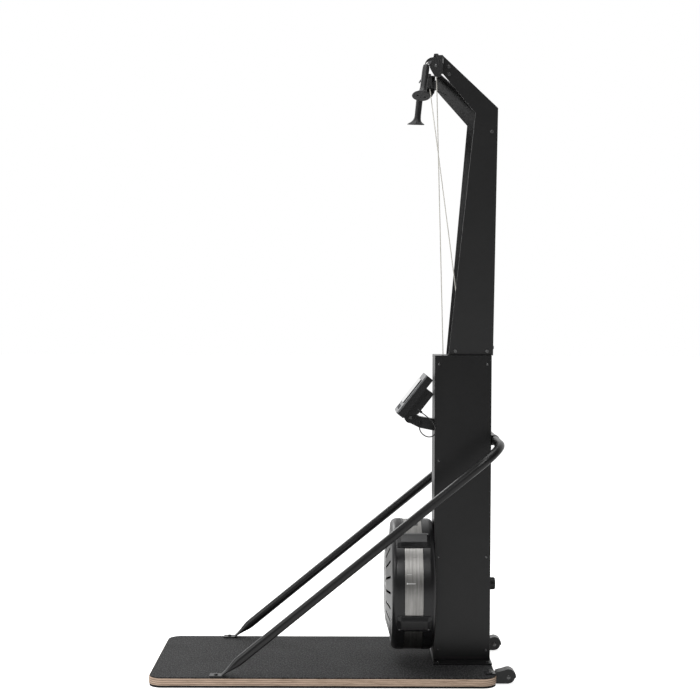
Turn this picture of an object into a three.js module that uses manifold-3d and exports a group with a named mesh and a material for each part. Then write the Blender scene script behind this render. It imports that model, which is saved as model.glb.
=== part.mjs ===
import * as THREE from 'three';
import { mergeVertices } from 'three/addons/utils/BufferGeometryUtils.js';
import Module from 'manifold-3d';

// A standing ski trainer: two cord handles drive a fan through drums inside a sheet-metal column.
// Millimetres. X runs across the machine, Y from its front to its rear, Z up from the floor.
// Places along Y are measured from the middle of the base, and the whole is shifted at the end.

const wasm = await Module();
wasm.setup();

// Gaps and cutting
const clearance = 0.3;
const runningClearance = 0.15;
const cutOverrun = 6;
const lap = 1;
const mergeDistance = 0.0001;

// How finely round things are divided
const bigRoundSteps = 36;
const roundSteps = 16;
const smallRoundSteps = 8;
const hexSides = 6;
const cornerSteps = 4;
const cordSides = 8;
const rightAngle = 90;

// Base
const baseLength = 1200;
const baseWidth = 600;
const baseCornerRadius = 50;
const underlayThickness = 8;
const underlayInset = 2;
const boardThickness = 24;
const matThickness = 4;
const matInset = 3;
const baseTop = underlayThickness + boardThickness + matThickness;

// Bolts and screws
const boltHeadRadius = 6.5;
const boltHeadHeight = 4.5;
const screwHeadRadius = 4.5;
const screwHeadHeight = 2;
const pinRadius = 4;

// Column
const columnSetback = 4;
const columnDepth = 202;
const columnWidth = 150;
const columnTop = 1133;
const columnSheet = 3;
const columnFlange = 22;
const footPlateWidth = 250;
const footPlateLip = 3;
const footPlateThickness = 6;
const footBoltInset = 16;
const coverScrewInset = 15;
const coverScrewRise = 35;
const coverScrewDrop = 31;
const coverScrewShares = [0, 0.327, 0.663, 1];
const columnRear = baseLength / 2 - columnSetback;
const columnFront = columnRear - columnDepth;
const footPlateTop = baseTop + footPlateThickness;
const columnInnerHalf = columnWidth / 2 - columnSheet - clearance;

// Fan, on an axle that runs along Y
const axleRadius = 10;
const axleInset = 10;
const axleTail = 16;
const bearingRadius = 21;
const bearingWidth = 14;
const shellRadius = 234;
const shellWall = 3;
const shellEdgeRadius = 21;
const fanFloorGap = 33;
const fanDepth = 154;
const grilleRim = 40;
const grilleWall = 3;
const grilleDome = 20;
const grilleFlat = 69;
const grilleHubRadius = 46;
const grilleBars = 20;
const grilleSlotWidth = 9;
const grilleSlotWallShare = 0.06;
const outletRingDrop = 4.5;
const outletRingLap = 14;
const outletWindows = 3;
const outletWindowPitch = 13;
const outletWindowWidth = 38;
const outletWindowLength = 42;
const damperInset = 45;
const damperWidth = 64;
const damperWall = 2;
const damperGap = 1;
const wheelRimGap = 26;
const wheelHubRadius = 34;
const wheelFrontGap = 18;
const wheelRearGap = 22;
const wheelDiscWall = 4;
const wheelBlades = 16;
const bladeWall = 3;
const lugLength = 118;
const lugWidth = 65;
const lugCrown = 36;
const lugHeight = 11;
const lugEdgeRise = 1;
const lugInset = 19;
const lugAngles = [51, -25.5, 129, 205.5];
const lugNames = ['upper_right', 'lower_right', 'upper_left', 'lower_left'];
const lugScrewInset = 12;
const capRadius = 22.5;
const capLength = 24;
const capWall = 6;
const capEdge = 1;
const axleHeight = baseTop + fanFloorGap + shellRadius;
const fanFront = columnFront - fanDepth;
const fanRear = columnFront - clearance;
const axleFront = fanFront + axleInset;
const grilleRadius = shellRadius - grilleRim;
const outletRingRadius = shellRadius - outletRingDrop;
const damperFront = fanFront + damperInset;
const wheelRadius = shellRadius - wheelRimGap;
const wheelFront = fanFront + wheelFrontGap;
const wheelBack = columnFront - wheelRearGap;
const lugFront = fanFront + lugInset;

// Cord drums, springs and rollers inside the column
const cordRadius = 1.75;
const drumCordRadius = 33;
const drumFlangeRadius = 40;
const drumFlangeWall = 3;
const drumWidth = 30;
const drumInset = 32;
const drumPitch = 84;
const springInnerRadius = 14;
const springOuterRadius = 38;
const springWidth = 8;
const springGap = 2;
const shelfDrop = 53;
const shelfHalfWidth = 60;
const springPlateHalfWidth = 45;
const springPlateHeight = 100;
const rollerDrop = 28;
const rollerRadius = 14;
const rollerFlangeRadius = 17;
const rollerWidth = 14;
const sensorWidth = 20;
const sensorDepth = 9;
const sensorHeight = 20;
const drumPlaces = [columnFront + drumInset, columnFront + drumInset + drumPitch];
const shelfHeight = axleHeight - shelfDrop;
const rollerHeight = columnTop - rollerDrop;

// Mast: two folded plates that lean apart towards the top
const mastFootHalf = 60;
const mastTop = 2171;
const mastOverhang = 6;
const mastFootDepth = 159;
const mastBendDrop = 175;
const mastWaist = 78;
const mastCornerDrop = 193;
const armReach = 193;
const armTipDepth = 61;
const mastSheet = 4;
const mastFlange = 50;
const saddleHeight = 46;
const saddleFrontGap = 9;
const saddleRearGap = 8;
const mastFootBoltInsets = [24, 22];
const mastFootBoltHeight = 15;
const spacerInset = 20;
const spacerDrop = 255;
const spacerRadius = 10;
const armBoltInsets = [[20, 37], [22, 62]];
const mastBase = columnTop + clearance;
const mastRear = columnRear + mastOverhang;
const mastFootFront = mastRear - mastFootDepth;
const mastBendHeight = mastTop - mastBendDrop;
const mastCornerFront = mastRear - mastWaist;
const mastCornerHeight = mastTop - mastCornerDrop;
const armTipFront = mastRear - armReach;
const armTipBottom = mastTop - armTipDepth;
const mastFootBolts = [mastFootFront + mastFootBoltInsets[0], mastRear - mastFootBoltInsets[1]];
const spacerPlace = mastRear - spacerInset;
const spacerHeight = mastTop - spacerDrop;
const armBolts = armBoltInsets.map(([back, down]) => [armTipFront + back, mastTop - down]);

// Swivelling pulley heads at the arm tips
const headHalf = 207;
const headOffset = 15.4;
const swivelReach = 25;
const pulleyDrop = 26;
const pulleyCordRadius = 12;
const pulleyFlangeRadius = 15;
const pulleyHalfWidth = 6.5;
const pulleyGrooveFloorHalf = 2.4;
const pulleyGrooveRimHalf = 5.2;
const yokeGap = 1;
const yokeWall = 2;
const yokeBackReach = 10;
const yokeMouth = [[-23, -3.5], [-21, -17]];
const yokeWindow = [[-36, -5], [-32, 2], [-22, 8], [-13, 7.5], [-15.5, -2], [-27, -8]];
const guardInset = 11;
const guardDrop = 12;
const guardRadius = 27.7;
const guardWall = 1.5;
const guardFrom = 90;
const guardTo = 160;
const guardSteps = 8;
const trunnionRadius = 11;
const trunnionBore = 8;
const bridgeWall = 3;
const bridgeDiscRadius = 12.5;
const swivelPinRadius = 5;
const swivelNutRadius = 8;
const swivelNutHeight = 8;
const lugPlateWall = 4;
const lugPlateHalf = 14.5;
const topLugReach = 10;
const bracketWall = 3;
const bracketNose = [[-18, 0.5], [-23, -12], [-21, -26], [-13, -40], [-5.5, -52], [11.5, -52], [18, -40.5]];
const bracketTipGap = 3.5;
const bracketInset = 29;
const bracketPlateDrop = 35;
const bracketHeelDrop = 38;
const tongueReach = 37;
const tongueFrontHeights = [-33, 5];
const tongueRearHeights = [-51, -17];
const cheekOffset = 23;
const pulleyPinRadius = 3;
const swivelPlace = armTipFront - swivelReach;
const pulleyHeight = mastTop - pulleyDrop;
const bracketRear = armTipFront - bracketTipGap;

// Handles
const handleLength = 128;
const handleTopRadius = 10.5;
const handleRadius = 12;
const handleFootRadius = 31.5;
const handleFlareStart = 102;
const handleFootEdge = 4;
const handleFootOffset = 4;
const handleFootCant = 4;
const handleSlit = 0.6;
// How each side's handle hangs: cord lean, cord length, outward lean, forward lean and twist
const rightHang = { pull: 38.5, tail: 20, outward: 24, forward: 8, twist: 19 };
const leftHang = { pull: 14, tail: 35, outward: 7, forward: 5.5, twist: 0 };

// Support tube
const tubeRadius = 16;
const tubeSides = 16;
const tubeFootInset = 22;
const tubeFootSetback = 255;
const tubeBackInset = 17;
const tubeBackHeight = 826;
const tubeBendReach = 110;
const tubeFlatReach = 77;
const tubeFlatSteps = 4;
const tubeFlatGrowth = 0.26;
const tubeFlatThickness = 0.24;
const tubeBendSteps = 8;
const clampPlateWidth = 36;
const clampPlateReach = 43;
const clampPlateLength = 49;
const clampPlateThickness = 5;
const clampBoltReach = 21;
const saddleBlockWidth = 44;
const saddleStrap = 2;
const saddleWeb = 2;
const tubeFootHalf = baseWidth / 2 - tubeFootInset;
const tubeFootPlace = tubeFootSetback - baseLength / 2;
const tubeBackHalf = baseWidth / 2 - tubeBackInset;
const tubeBackPlace = columnRear + 2 * clearance + saddleWeb + tubeRadius;

// Transport wheels
const transportInset = 69;
const transportRadius = 23;
const transportOverhang = 43;
const transportFloorGap = 4;
const transportWidth = 34;
const housingWall = 3;
const housingRadius = 26;
const housingRise = 2.5;
const housingBottom = 5;
const housingFrontRise = 8;
const housingTabLength = 36;
const housingTabThickness = 4;
const wheelRoom = 1.5;
const transportHalf = baseWidth / 2 - transportInset;
const transportPlace = baseLength / 2 + transportOverhang;
const transportHeight = transportRadius + transportFloorGap;
const housingHeight = transportHeight + housingRise;

// Console
const consoleLean = 52;
const consoleReach = 137.3;
const consoleFrontHeight = 928.3;
const consoleLength = 172;
const consoleWidth = 190;
const consoleDepth = 30;
const bezelDepth = 6;
const screenStart = 43;
const screenLength = 104;
const screenWidth = 140;
const screenProud = 4;
const rearBoxWidth = 120;
const rearBoxDepth = 36;
const rearBoxStart = 44;
const rearBoxEnd = 134;
const pivotAlong = 16.8;
const pivotBehind = 54.5;
const armHeadRadius = 22;
const armHalfWidth = 20;
const armRootDrops = [68.3, 26.3];
const armWaistReach = 51;
const armWaistDrops = [58.3, 17.3];
const earWall = 7;
const earRadius = 14;
const earRootHalf = 17;
const notchRoom = 1;
const buttonRadius = 8;
const buttonAlong = 22;
const buttonPitch = 42;
const buttonProud = 2.5;
const buttonSeat = 4.2;
const buttonCount = 3;
const consoleEdgeRadius = 4;
const consoleFrontPlace = columnFront - consoleReach;

// Console cable
const cableRadius = 2;
const cableSides = 8;
const glandRadius = 4.5;
const glandLength = 8;
const glandAlong = 56;
const glandSide = 45;
const socketSetback = 47;
const socketDrop = 40.3;
const socketLength = 6;

// Materials
function finish(colour, roughness, metalness) {
  return new THREE.MeshStandardMaterial({ color: colour, roughness, metalness });
}
const blackCoat = finish(0x2a2a2b, 0.55, 0.2);
const blackPlastic = finish(0x1f1f20, 0.5, 0);
const greyPlastic = finish(0x8a8c8e, 0.5, 0);
const rubber = finish(0x222222, 0.9, 0);
const plywood = finish(0xa98f78, 0.7, 0);
const matRubber = finish(0x383838, 0.95, 0);
const brushedSteel = finish(0xb5b3b0, 0.35, 0.9);
const brightSteel = finish(0xc8c8c6, 0.25, 0.9);
const whiteCord = finish(0xdcd9cf, 0.8, 0);
const glass = finish(0x0a0b0c, 0.1, 0);

// Solids from geometries
function signedVolume(positions, triangles) {
  const [a, b, c] = [new THREE.Vector3(), new THREE.Vector3(), new THREE.Vector3()];
  let total = 0;
  for (let i = 0; i < triangles.length; i += 3) {
    a.fromArray(positions, 3 * triangles[i]);
    b.fromArray(positions, 3 * triangles[i + 1]);
    c.fromArray(positions, 3 * triangles[i + 2]);
    total += a.dot(b.cross(c));
  }
  return total;
}

function solid(geometry) {
  const bare = geometry.clone();
  bare.deleteAttribute('normal');
  bare.deleteAttribute('uv');
  const merged = mergeVertices(bare, mergeDistance);
  const positions = merged.attributes.position.array;
  const corners = merged.index.array;
  const kept = [];
  for (let i = 0; i < corners.length; i += 3) {
    const [a, b, c] = [corners[i], corners[i + 1], corners[i + 2]];
    if (a !== b && b !== c && c !== a) {
      kept.push(a, b, c);
    }
  }
  if (signedVolume(positions, kept) < 0) {
    kept.reverse();
  }
  const data = { numProp: 3, vertProperties: new Float32Array(positions), triVerts: new Uint32Array(kept) };
  return new wasm.Manifold(new wasm.Mesh(data));
}

function toGeometry(shape) {
  const data = shape.getMesh();
  const geometry = new THREE.BufferGeometry();
  geometry.setAttribute('position', new THREE.BufferAttribute(data.vertProperties, 3));
  geometry.setIndex(new THREE.BufferAttribute(data.triVerts, 1));
  geometry.computeVertexNormals();
  return geometry;
}

function joined(...shapes) {
  return shapes.reduce((whole, shape) => whole.add(shape));
}

function without(shape, ...tools) {
  return tools.reduce((whole, tool) => whole.subtract(tool), shape);
}

function piece(name, shape, material) {
  const geometry = shape.isBufferGeometry ? shape : toGeometry(shape);
  const mesh = new THREE.Mesh(geometry, material);
  mesh.name = name;
  return mesh;
}

// A solid with each of its points moved by a rule
function reshaped(shape, rule) {
  const geometry = toGeometry(shape);
  const places = geometry.attributes.position;
  const point = new THREE.Vector3();
  for (let i = 0; i < places.count; i += 1) {
    places.setXYZ(i, ...rule(point.fromBufferAttribute(places, i)).toArray());
  }
  return solid(geometry);
}

function mirrored(shape) {
  return solid(toGeometry(shape).scale(-1, 1, 1));
}

function placed(shape, matrix) {
  return solid(toGeometry(shape).applyMatrix4(matrix));
}

// Basic forms
function block([x0, x1], [y0, y1], [z0, z1]) {
  const box = new THREE.BoxGeometry(x1 - x0, y1 - y0, z1 - z0);
  return solid(box.translate((x0 + x1) / 2, (y0 + y1) / 2, (z0 + z1) / 2));
}

function around(middle, half) {
  return [middle - half, middle + half];
}

const acrossX = new THREE.Matrix4().makeBasis(
  new THREE.Vector3(0, 1, 0), new THREE.Vector3(0, 0, 1), new THREE.Vector3(1, 0, 0));
const alongY = new THREE.Matrix4().makeBasis(
  new THREE.Vector3(0, 0, 1), new THREE.Vector3(1, 0, 0), new THREE.Vector3(0, 1, 0));

function outline(points) {
  return new THREE.Shape(points.map(([u, v]) => new THREE.Vector2(u, v)));
}

function pulledOut(shape, depth) {
  return new THREE.ExtrudeGeometry(shape, { depth, bevelEnabled: false, curveSegments: cornerSteps });
}

// An outline drawn in Y and Z, given thickness along X from x0 to x1
function plateX(points, [x0, x1]) {
  const shape = points.isShape ? points : outline(points);
  return solid(pulledOut(shape, x1 - x0).applyMatrix4(acrossX).translate(x0, 0, 0));
}

// An outline drawn in Z and X, given thickness along Y from y0 to y1
function plateY(points, [y0, y1]) {
  return solid(pulledOut(outline(points), y1 - y0).applyMatrix4(alongY).translate(0, y0, 0));
}

// A cylinder between two places along one axis, centred on the other two
function rod(axis, radius, [from, to], [a, b], sides = roundSteps) {
  const length = to - from;
  const geometry = new THREE.CylinderGeometry(radius, radius, length, sides);
  const middle = (from + to) / 2;
  if (axis === 'x') {
    geometry.rotateZ(-Math.PI / 2).translate(middle, a, b);
  } else if (axis === 'y') {
    geometry.translate(a, middle, b);
  } else {
    geometry.rotateX(Math.PI / 2).translate(a, b, middle);
  }
  return solid(geometry);
}

// A profile of radius and place along Y, turned about Y
function turned(profile, steps = roundSteps) {
  const closed = [...profile, profile[0]];
  return solid(new THREE.LatheGeometry(closed.map(([r, y]) => new THREE.Vector2(r, y)), steps));
}

// Points of an arc, by angles in degrees
function arc([u, v], radius, from, to, steps) {
  const points = [];
  for (let i = 0; i <= steps; i += 1) {
    const angle = THREE.MathUtils.degToRad(from + ((to - from) * i) / steps);
    points.push([u + radius * Math.cos(angle), v + radius * Math.sin(angle)]);
  }
  return points;
}

function roundedRectangle(width, length, radius) {
  const [x, y] = [width / 2 - radius, length / 2 - radius];
  const corners = [[x, -y, -rightAngle], [x, y, 0], [-x, y, rightAngle], [-x, -y, 2 * rightAngle]];
  return outline(corners.flatMap(([u, v, from]) => arc([u, v], radius, from, from + rightAngle, cornerSteps)));
}

// A strip of the given width on the right-hand side of a line of points
function strip(points, width) {
  const at = points.map(([u, v]) => new THREE.Vector2(u, v));
  const normal = (i) => {
    const step = at[i + 1].clone().sub(at[i]).normalize();
    return new THREE.Vector2(step.y, -step.x);
  };
  const inner = at.map((point, i) => {
    const before = normal(Math.max(i - 1, 0));
    const after = normal(Math.min(i, at.length - 2));
    const sum = before.clone().add(after);
    return point.clone().addScaledVector(sum, width / (1 + before.dot(after)));
  });
  return [...points, ...inner.reverse().map((p) => [p.x, p.y])];
}

function tubeAlong(curve, radius, sides, steps) {
  const section = new THREE.Shape();
  section.absarc(0, 0, radius, 0, 2 * Math.PI);
  const points = section.getSpacedPoints(sides).slice(0, sides);
  const settings = { steps, extrudePath: curve, bevelEnabled: false };
  return solid(new THREE.ExtrudeGeometry(new THREE.Shape(points), settings));
}

function boltHead(axis, place, at, radius = boltHeadRadius, height = boltHeadHeight, outward = 1) {
  const [from, to] = outward > 0 ? [place, place + height] : [place - height, place];
  return rod(axis, radius, [from, to], at, hexSides);
}

const machine = new THREE.Group();

// Base
function makeBase() {
  const base = new THREE.Group();
  const layers = [
    ['base_underlay', underlayInset, underlayThickness, rubber],
    ['base_board', 0, boardThickness, plywood],
    ['base_mat', matInset, matThickness, matRubber],
  ];
  let height = 0;
  for (const [name, inset, thickness, material] of layers) {
    const size = [baseWidth - 2 * inset, baseLength - 2 * inset];
    const outer = roundedRectangle(...size, baseCornerRadius - inset);
    const layer = piece(name, solid(pulledOut(outer, thickness)), material);
    layer.position.z = height;
    base.add(layer);
    height += thickness;
  }
  return base;
}

// Column: a welded frame with a foot plate, two channels, a top plate, a shelf and roller pins
const rollerPlace = drumCordRadius + rollerRadius + cordRadius + clearance;

function channelWeb(y0, y1) {
  return block(around(0, columnInnerHalf), [y0, y1], [footPlateTop, columnTop]);
}

function makeColumnFrame() {
  const webFront = columnFront + columnSheet;
  const webRear = columnRear - columnSheet;
  const flanges = [[webFront, webFront + columnFlange], [webRear - columnFlange, webRear]].flatMap((y) => (
    [-1, 1].map((side) => {
      const faces = [side * (columnInnerHalf - columnSheet), side * columnInnerHalf];
      return block([Math.min(...faces), Math.max(...faces)], y, [footPlateTop, columnTop]);
    })));
  const plateY0 = columnFront - footPlateLip;
  const plateY1 = columnRear + footPlateLip;
  const footBolts = [-1, 1].flatMap((side) => [plateY0, plateY1].map((edge) => {
    const y = edge === plateY0 ? edge + footBoltInset : edge - footBoltInset;
    return boltHead('z', footPlateTop, [side * (footPlateWidth / 2 - footBoltInset), y]);
  }));
  const springPlates = drumPlaces.map((place) => {
    const y = place + drumWidth / 2 + springGap + springWidth + clearance;
    const height = [shelfHeight, shelfHeight + springPlateHeight];
    return without(
      block(around(0, springPlateHalfWidth), [y, y + columnSheet], height),
      rod('y', axleRadius + springGap, [y - cutOverrun, y + cutOverrun], [0, axleHeight]));
  });
  const pins = [
    rod('y', pinRadius, [webFront - columnSheet, drumPlaces[0] + rollerWidth], [rollerPlace, rollerHeight]),
    rod('y', pinRadius, [drumPlaces[1] - rollerWidth, webRear + columnSheet], [-rollerPlace, rollerHeight]),
  ];
  const whole = joined(
    block(around(0, footPlateWidth / 2), [plateY0, plateY1], [baseTop, footPlateTop]),
    channelWeb(columnFront, webFront),
    channelWeb(webRear, columnRear),
    ...flanges,
    block(around(0, columnInnerHalf), [columnFront, columnRear], [columnTop - columnSheet, columnTop]),
    block(around(0, shelfHalfWidth), [columnFront, columnRear], [shelfHeight, shelfHeight + columnSheet]),
    ...springPlates,
    ...pins,
    ...footBolts);
  const bearingHoles = [columnFront, columnRear].map((y) => (
    rod('y', bearingRadius + clearance, around(y, columnSheet + cutOverrun), [0, axleHeight])));
  const slot = cordRadius + 4 * cordRadius;
  const cordSlots = drumPlaces.map((place, i) => block(
    around((1 - 2 * i) * (drumCordRadius + cordRadius), slot), around(place, slot),
    around(columnTop, cutOverrun)));
  return piece('column_frame', without(whole, ...bearingHoles, ...cordSlots), blackCoat);
}

function makeCover() {
  const outer = columnWidth / 2;
  const lowScrew = footPlateTop + coverScrewRise;
  const coverScrewHeights = coverScrewShares.map((share) => (
    lowScrew + share * (columnTop - coverScrewDrop - lowScrew)));
  const height = [footPlateTop + clearance, columnTop];
  const plate = block([outer - columnSheet, outer], [columnFront, columnRear], height);
  const screwReach = [outer - columnSheet / 2, outer + screwHeadHeight];
  const screws = coverScrewHeights.flatMap((z) => (
    [columnFront + coverScrewInset, columnRear - coverScrewInset].map((y) => (
      rod('x', screwHeadRadius, screwReach, [y, z], smallRoundSteps)))));
  return joined(plate, ...screws);
}

// Fan housing
function makeShells() {
  const edge = shellEdgeRadius;
  const back = fanRear;
  const innerEdge = edge - shellWall;
  const ringInner = outletRingRadius - shellWall;
  const hole = bearingRadius + clearance;
  const damperBack = damperFront + damperWidth + 2 * clearance;
  const damperLip = damperFront - 2 * clearance;
  const rear = turned([
    [hole, back],
    ...arc([shellRadius - edge, back - edge], edge, 90, 0, cornerSteps),
    [shellRadius, damperBack],
    [outletRingRadius, damperBack],
    [outletRingRadius, damperLip - outletRingLap],
    [ringInner, damperLip - outletRingLap],
    ...arc([ringInner - innerEdge, back - edge], innerEdge, 0, 90, cornerSteps),
    [hole, back - shellWall],
  ], bigRoundSteps);
  const frontInner = outletRingRadius + clearance;
  const front = turned([
    [grilleRadius, fanFront],
    ...arc([shellRadius - edge, fanFront + edge], edge, -90, 0, cornerSteps),
    [shellRadius, damperLip],
    [frontInner, damperLip],
    ...arc([frontInner - innerEdge, fanFront + edge], innerEdge, 0, -90, cornerSteps),
    [grilleRadius, fanFront + shellWall],
  ], bigRoundSteps);
  return [rear, front];
}

function outletWindowTools(width) {
  const middle = damperFront + damperWidth / 2;
  const tools = [];
  for (let i = 0; i < outletWindows; i += 1) {
    const angle = THREE.MathUtils.degToRad((i - (outletWindows - 1) / 2) * outletWindowPitch);
    const radial = [outletRingRadius - cutOverrun, outletRingRadius + cutOverrun];
    const tool = block(around(0, outletWindowLength / 2), around(middle, width / 2), radial);
    tools.push(placed(tool, new THREE.Matrix4().makeRotationY(angle)));
  }
  return tools;
}

function makeDamper() {
  const inner = outletRingRadius + damperGap;
  const [y0, y1] = [damperFront, damperFront + damperWidth];
  const outer = inner + damperWall;
  const ring = turned([[inner, y0], [outer, y0], [outer, y1], [inner, y1]], bigRoundSteps);
  return without(ring, ...outletWindowTools(outletWindowWidth));
}

function makeGrille() {
  const rim = grilleRadius - clearance;
  const flat = grilleRadius - grilleFlat;
  const top = fanFront - grilleDome;
  const plate = turned([
    [0, top],
    [flat, top],
    [rim, fanFront],
    [rim, fanFront + grilleWall],
    [flat, top + grilleWall],
    [0, top + grilleWall],
  ], bigRoundSteps);
  const tools = [];
  const wall = grilleRadius * grilleSlotWallShare;
  const middle = (rim + grilleHubRadius) / 2;
  const rows = [[grilleHubRadius, middle - wall / 2], [middle + wall / 2, rim - wall]];
  const depth = [fanFront - 2 * grilleDome, fanFront + grilleDome];
  for (let i = 0; i < grilleBars; i += 1) {
    const turn = new THREE.Matrix4().makeRotationY((2 * Math.PI * i) / grilleBars);
    for (const row of rows) {
      tools.push(placed(block(row, depth, around(0, grilleSlotWidth / 2)), turn));
    }
  }
  return without(plate, ...tools);
}

function makeFanWheel() {
  const discFront = wheelBack - wheelDiscWall;
  const hub = [[axleRadius, wheelFront], [wheelHubRadius, wheelFront],
    [wheelHubRadius, wheelBack], [axleRadius, wheelBack]];
  const disc = [[axleRadius, discFront], [wheelRadius, discFront],
    [wheelRadius, wheelBack], [axleRadius, wheelBack]];
  const blades = [];
  for (let i = 0; i < wheelBlades; i += 1) {
    const reach = [wheelHubRadius / 2, wheelRadius - wheelDiscWall];
    const blade = block(reach, [wheelFront, wheelBack - lap], around(0, bladeWall / 2));
    blades.push(placed(blade, new THREE.Matrix4().makeRotationY((2 * Math.PI * i) / wheelBlades)));
  }
  const bore = rod('y', axleRadius + clearance, [wheelFront - cutOverrun, wheelBack + cutOverrun], [0, 0]);
  return without(joined(turned(hub), turned(disc, bigRoundSteps), ...blades), bore);
}

function makeLug(angle) {
  const inner = shellRadius + clearance;
  const outer = inner + lugHeight;
  const half = lugWidth / 2;
  const crown = lugCrown / 2;
  const profile = [
    [inner - lugHeight, -half],
    [inner + lugEdgeRise, -half],
    [outer, -crown],
    [outer, crown],
    [inner + lugEdgeRise, half],
    [inner - lugHeight, half],
  ];
  const lugBack = lugFront + lugLength;
  const bar = solid(pulledOut(outline(profile), lugLength).rotateX(Math.PI / 2).translate(0, lugBack, 0));
  const screws = [lugFront + lugScrewInset, lugBack - lugScrewInset].map((y) => (
    rod('x', screwHeadRadius, [inner, outer + screwHeadHeight / 2], [y, 0], smallRoundSteps)));
  const drum = rod('y', inner, [lugFront - cutOverrun, lugBack + cutOverrun], [0, 0], bigRoundSteps);
  const turn = new THREE.Matrix4().makeRotationY(THREE.MathUtils.degToRad(-angle));
  return without(placed(joined(bar, ...screws), turn), drum);
}

function makeFan() {
  const fan = new THREE.Group();
  fan.position.z = axleHeight;
  const [rear, front] = makeShells();
  fan.add(piece('fan_rear_shell', without(rear, ...outletWindowTools(outletWindowWidth)), blackPlastic));
  fan.add(piece('fan_front_shell', front, blackPlastic));
  fan.add(piece('fan_front_grille', makeGrille(), brushedSteel));
  fan.add(piece('damper_ring', makeDamper(), brushedSteel));
  fan.add(piece('fan_wheel', makeFanWheel(), greyPlastic));
  const axleEnd = columnRear + axleTail;
  fan.add(piece('fan_axle', rod('y', axleRadius, [axleFront, axleEnd], [0, 0]), brightSteel));
  const race = axleRadius + clearance;
  const bearings = [['front_bearing', fanRear - shellWall], ['rear_bearing', columnRear - bearingWidth]];
  for (const [name, y] of bearings) {
    const ring = [[race, y], [bearingRadius, y], [bearingRadius, y + bearingWidth], [race, y + bearingWidth]];
    fan.add(piece(name, turned(ring), brightSteel));
  }
  lugAngles.forEach((angle, i) => {
    fan.add(piece(`shell_lug_${lugNames[i]}`, makeLug(angle), blackPlastic));
  });
  const capBack = columnRear + clearance;
  const capInner = capRadius - capWall;
  const capEnd = capBack + capLength;
  const capProfile = [[capInner, capBack], [capRadius, capBack], [capRadius, capEnd - capEdge],
    [capRadius - capEdge, capEnd], [0, capEnd], [0, capEnd - capWall], [capInner, capEnd - capWall]];
  fan.add(piece('axle_cap', turned(capProfile), blackPlastic));
  return fan;
}

// Drums with their springs, rollers and the speed sensor
function makeDrive() {
  const drive = new THREE.Group();
  const bore = axleRadius + clearance;
  const core = drumCordRadius - cordRadius - clearance;
  ['right', 'left'].forEach((side, i) => {
    const y0 = drumPlaces[i] - drumWidth / 2;
    const y1 = y0 + drumWidth;
    const drum = turned([
      [bore, y0],
      [drumFlangeRadius, y0],
      [drumFlangeRadius, y0 + drumFlangeWall],
      [core, y0 + drumFlangeWall],
      [core, y1 - drumFlangeWall],
      [drumFlangeRadius, y1 - drumFlangeWall],
      [drumFlangeRadius, y1],
      [bore, y1],
    ]);
    const drumPiece = piece(`cord_drum_${side}`, drum, greyPlastic);
    const s0 = y1 + springGap;
    const s1 = s0 + springWidth;
    const spring = turned([[springInnerRadius, s0], [springOuterRadius, s0],
      [springOuterRadius, s1], [springInnerRadius, s1]]);
    const springPiece = piece(`recoil_spring_${side}`, spring, brightSteel);
    for (const item of [drumPiece, springPiece]) {
      item.position.z = axleHeight;
      drive.add(item);
    }
    const half = rollerWidth / 2;
    const groove = half / 2;
    const rollerBore = pinRadius + runningClearance;
    const roller = turned([
      [rollerBore, -half],
      [rollerFlangeRadius, -half],
      [rollerRadius, -groove],
      [rollerRadius, groove],
      [rollerFlangeRadius, half],
      [rollerBore, half],
    ]);
    const rollerPiece = piece(`guide_roller_${side}`, roller, greyPlastic);
    rollerPiece.position.set((1 - 2 * i) * rollerPlace, drumPlaces[i], rollerHeight);
    drive.add(rollerPiece);
  });
  const sensorFront = columnFront + columnSheet + clearance;
  const sensorBase = axleHeight + bearingRadius + sensorHeight;
  drive.add(piece('speed_sensor', block(around(0, sensorWidth / 2), [sensorFront, sensorFront + sensorDepth],
    [sensorBase, sensorBase + sensorHeight]), blackPlastic));
  return drive;
}

// Mast
const flareAngle = Math.atan((headHalf - headOffset - mastFootHalf) / (pulleyHeight - mastBase));
const mastMatrix = new THREE.Matrix4().makeRotationY(flareAngle).setPosition(mastFootHalf, 0, mastBase);

function upTheMast(z) {
  return (z - mastBase) / Math.cos(flareAngle);
}

function mastHalfAt(z) {
  return mastFootHalf + (z - mastBase) * Math.tan(flareAngle);
}

function makeMastPlate() {
  const bend = [mastRear, upTheMast(mastBendHeight)];
  const tip = [armTipFront, upTheMast(mastTop)];
  const web = plateX([
    [mastFootFront, 0],
    [mastRear, 0],
    bend,
    tip,
    [armTipFront, upTheMast(armTipBottom)],
    [mastCornerFront, upTheMast(mastCornerHeight)],
  ], [-mastSheet, 0]);
  const flange = plateX(strip([tip, bend, [mastRear, 0]], mastSheet), [-mastFlange, 0]);
  const heads = [...mastFootBolts.map((y) => [y, upTheMast(mastBase + mastFootBoltHeight)]),
    ...armBolts.map(([y, z]) => [y, upTheMast(z)]), [spacerPlace, upTheMast(spacerHeight)]];
  const sunk = mastSheet / 2;
  const bolts = heads.map((at) => boltHead('x', -sunk, at, boltHeadRadius, boltHeadHeight + sunk));
  return joined(web, flange, ...bolts);
}

function saddleHalf(z, inset) {
  return mastHalfAt(z) - (mastSheet + clearance) / Math.cos(flareAngle) - inset;
}

function makeSaddle() {
  const top = columnTop + saddleHeight;
  const trapezoid = (low, high, inset) => [
    [low, -saddleHalf(low, inset)],
    [low, saddleHalf(low, inset)],
    [high, saddleHalf(high, inset)],
    [high, -saddleHalf(high, inset)],
  ];
  const rear = mastRear - saddleRearGap;
  const front = mastFootFront + saddleFrontGap;
  const body = plateY(trapezoid(columnTop, top, 0), [front, rear]);
  const hollow = trapezoid(columnTop - cutOverrun, top + cutOverrun, mastSheet);
  const inside = plateY(hollow, [front - cutOverrun, rear - mastSheet]);
  return without(body, inside);
}

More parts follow.
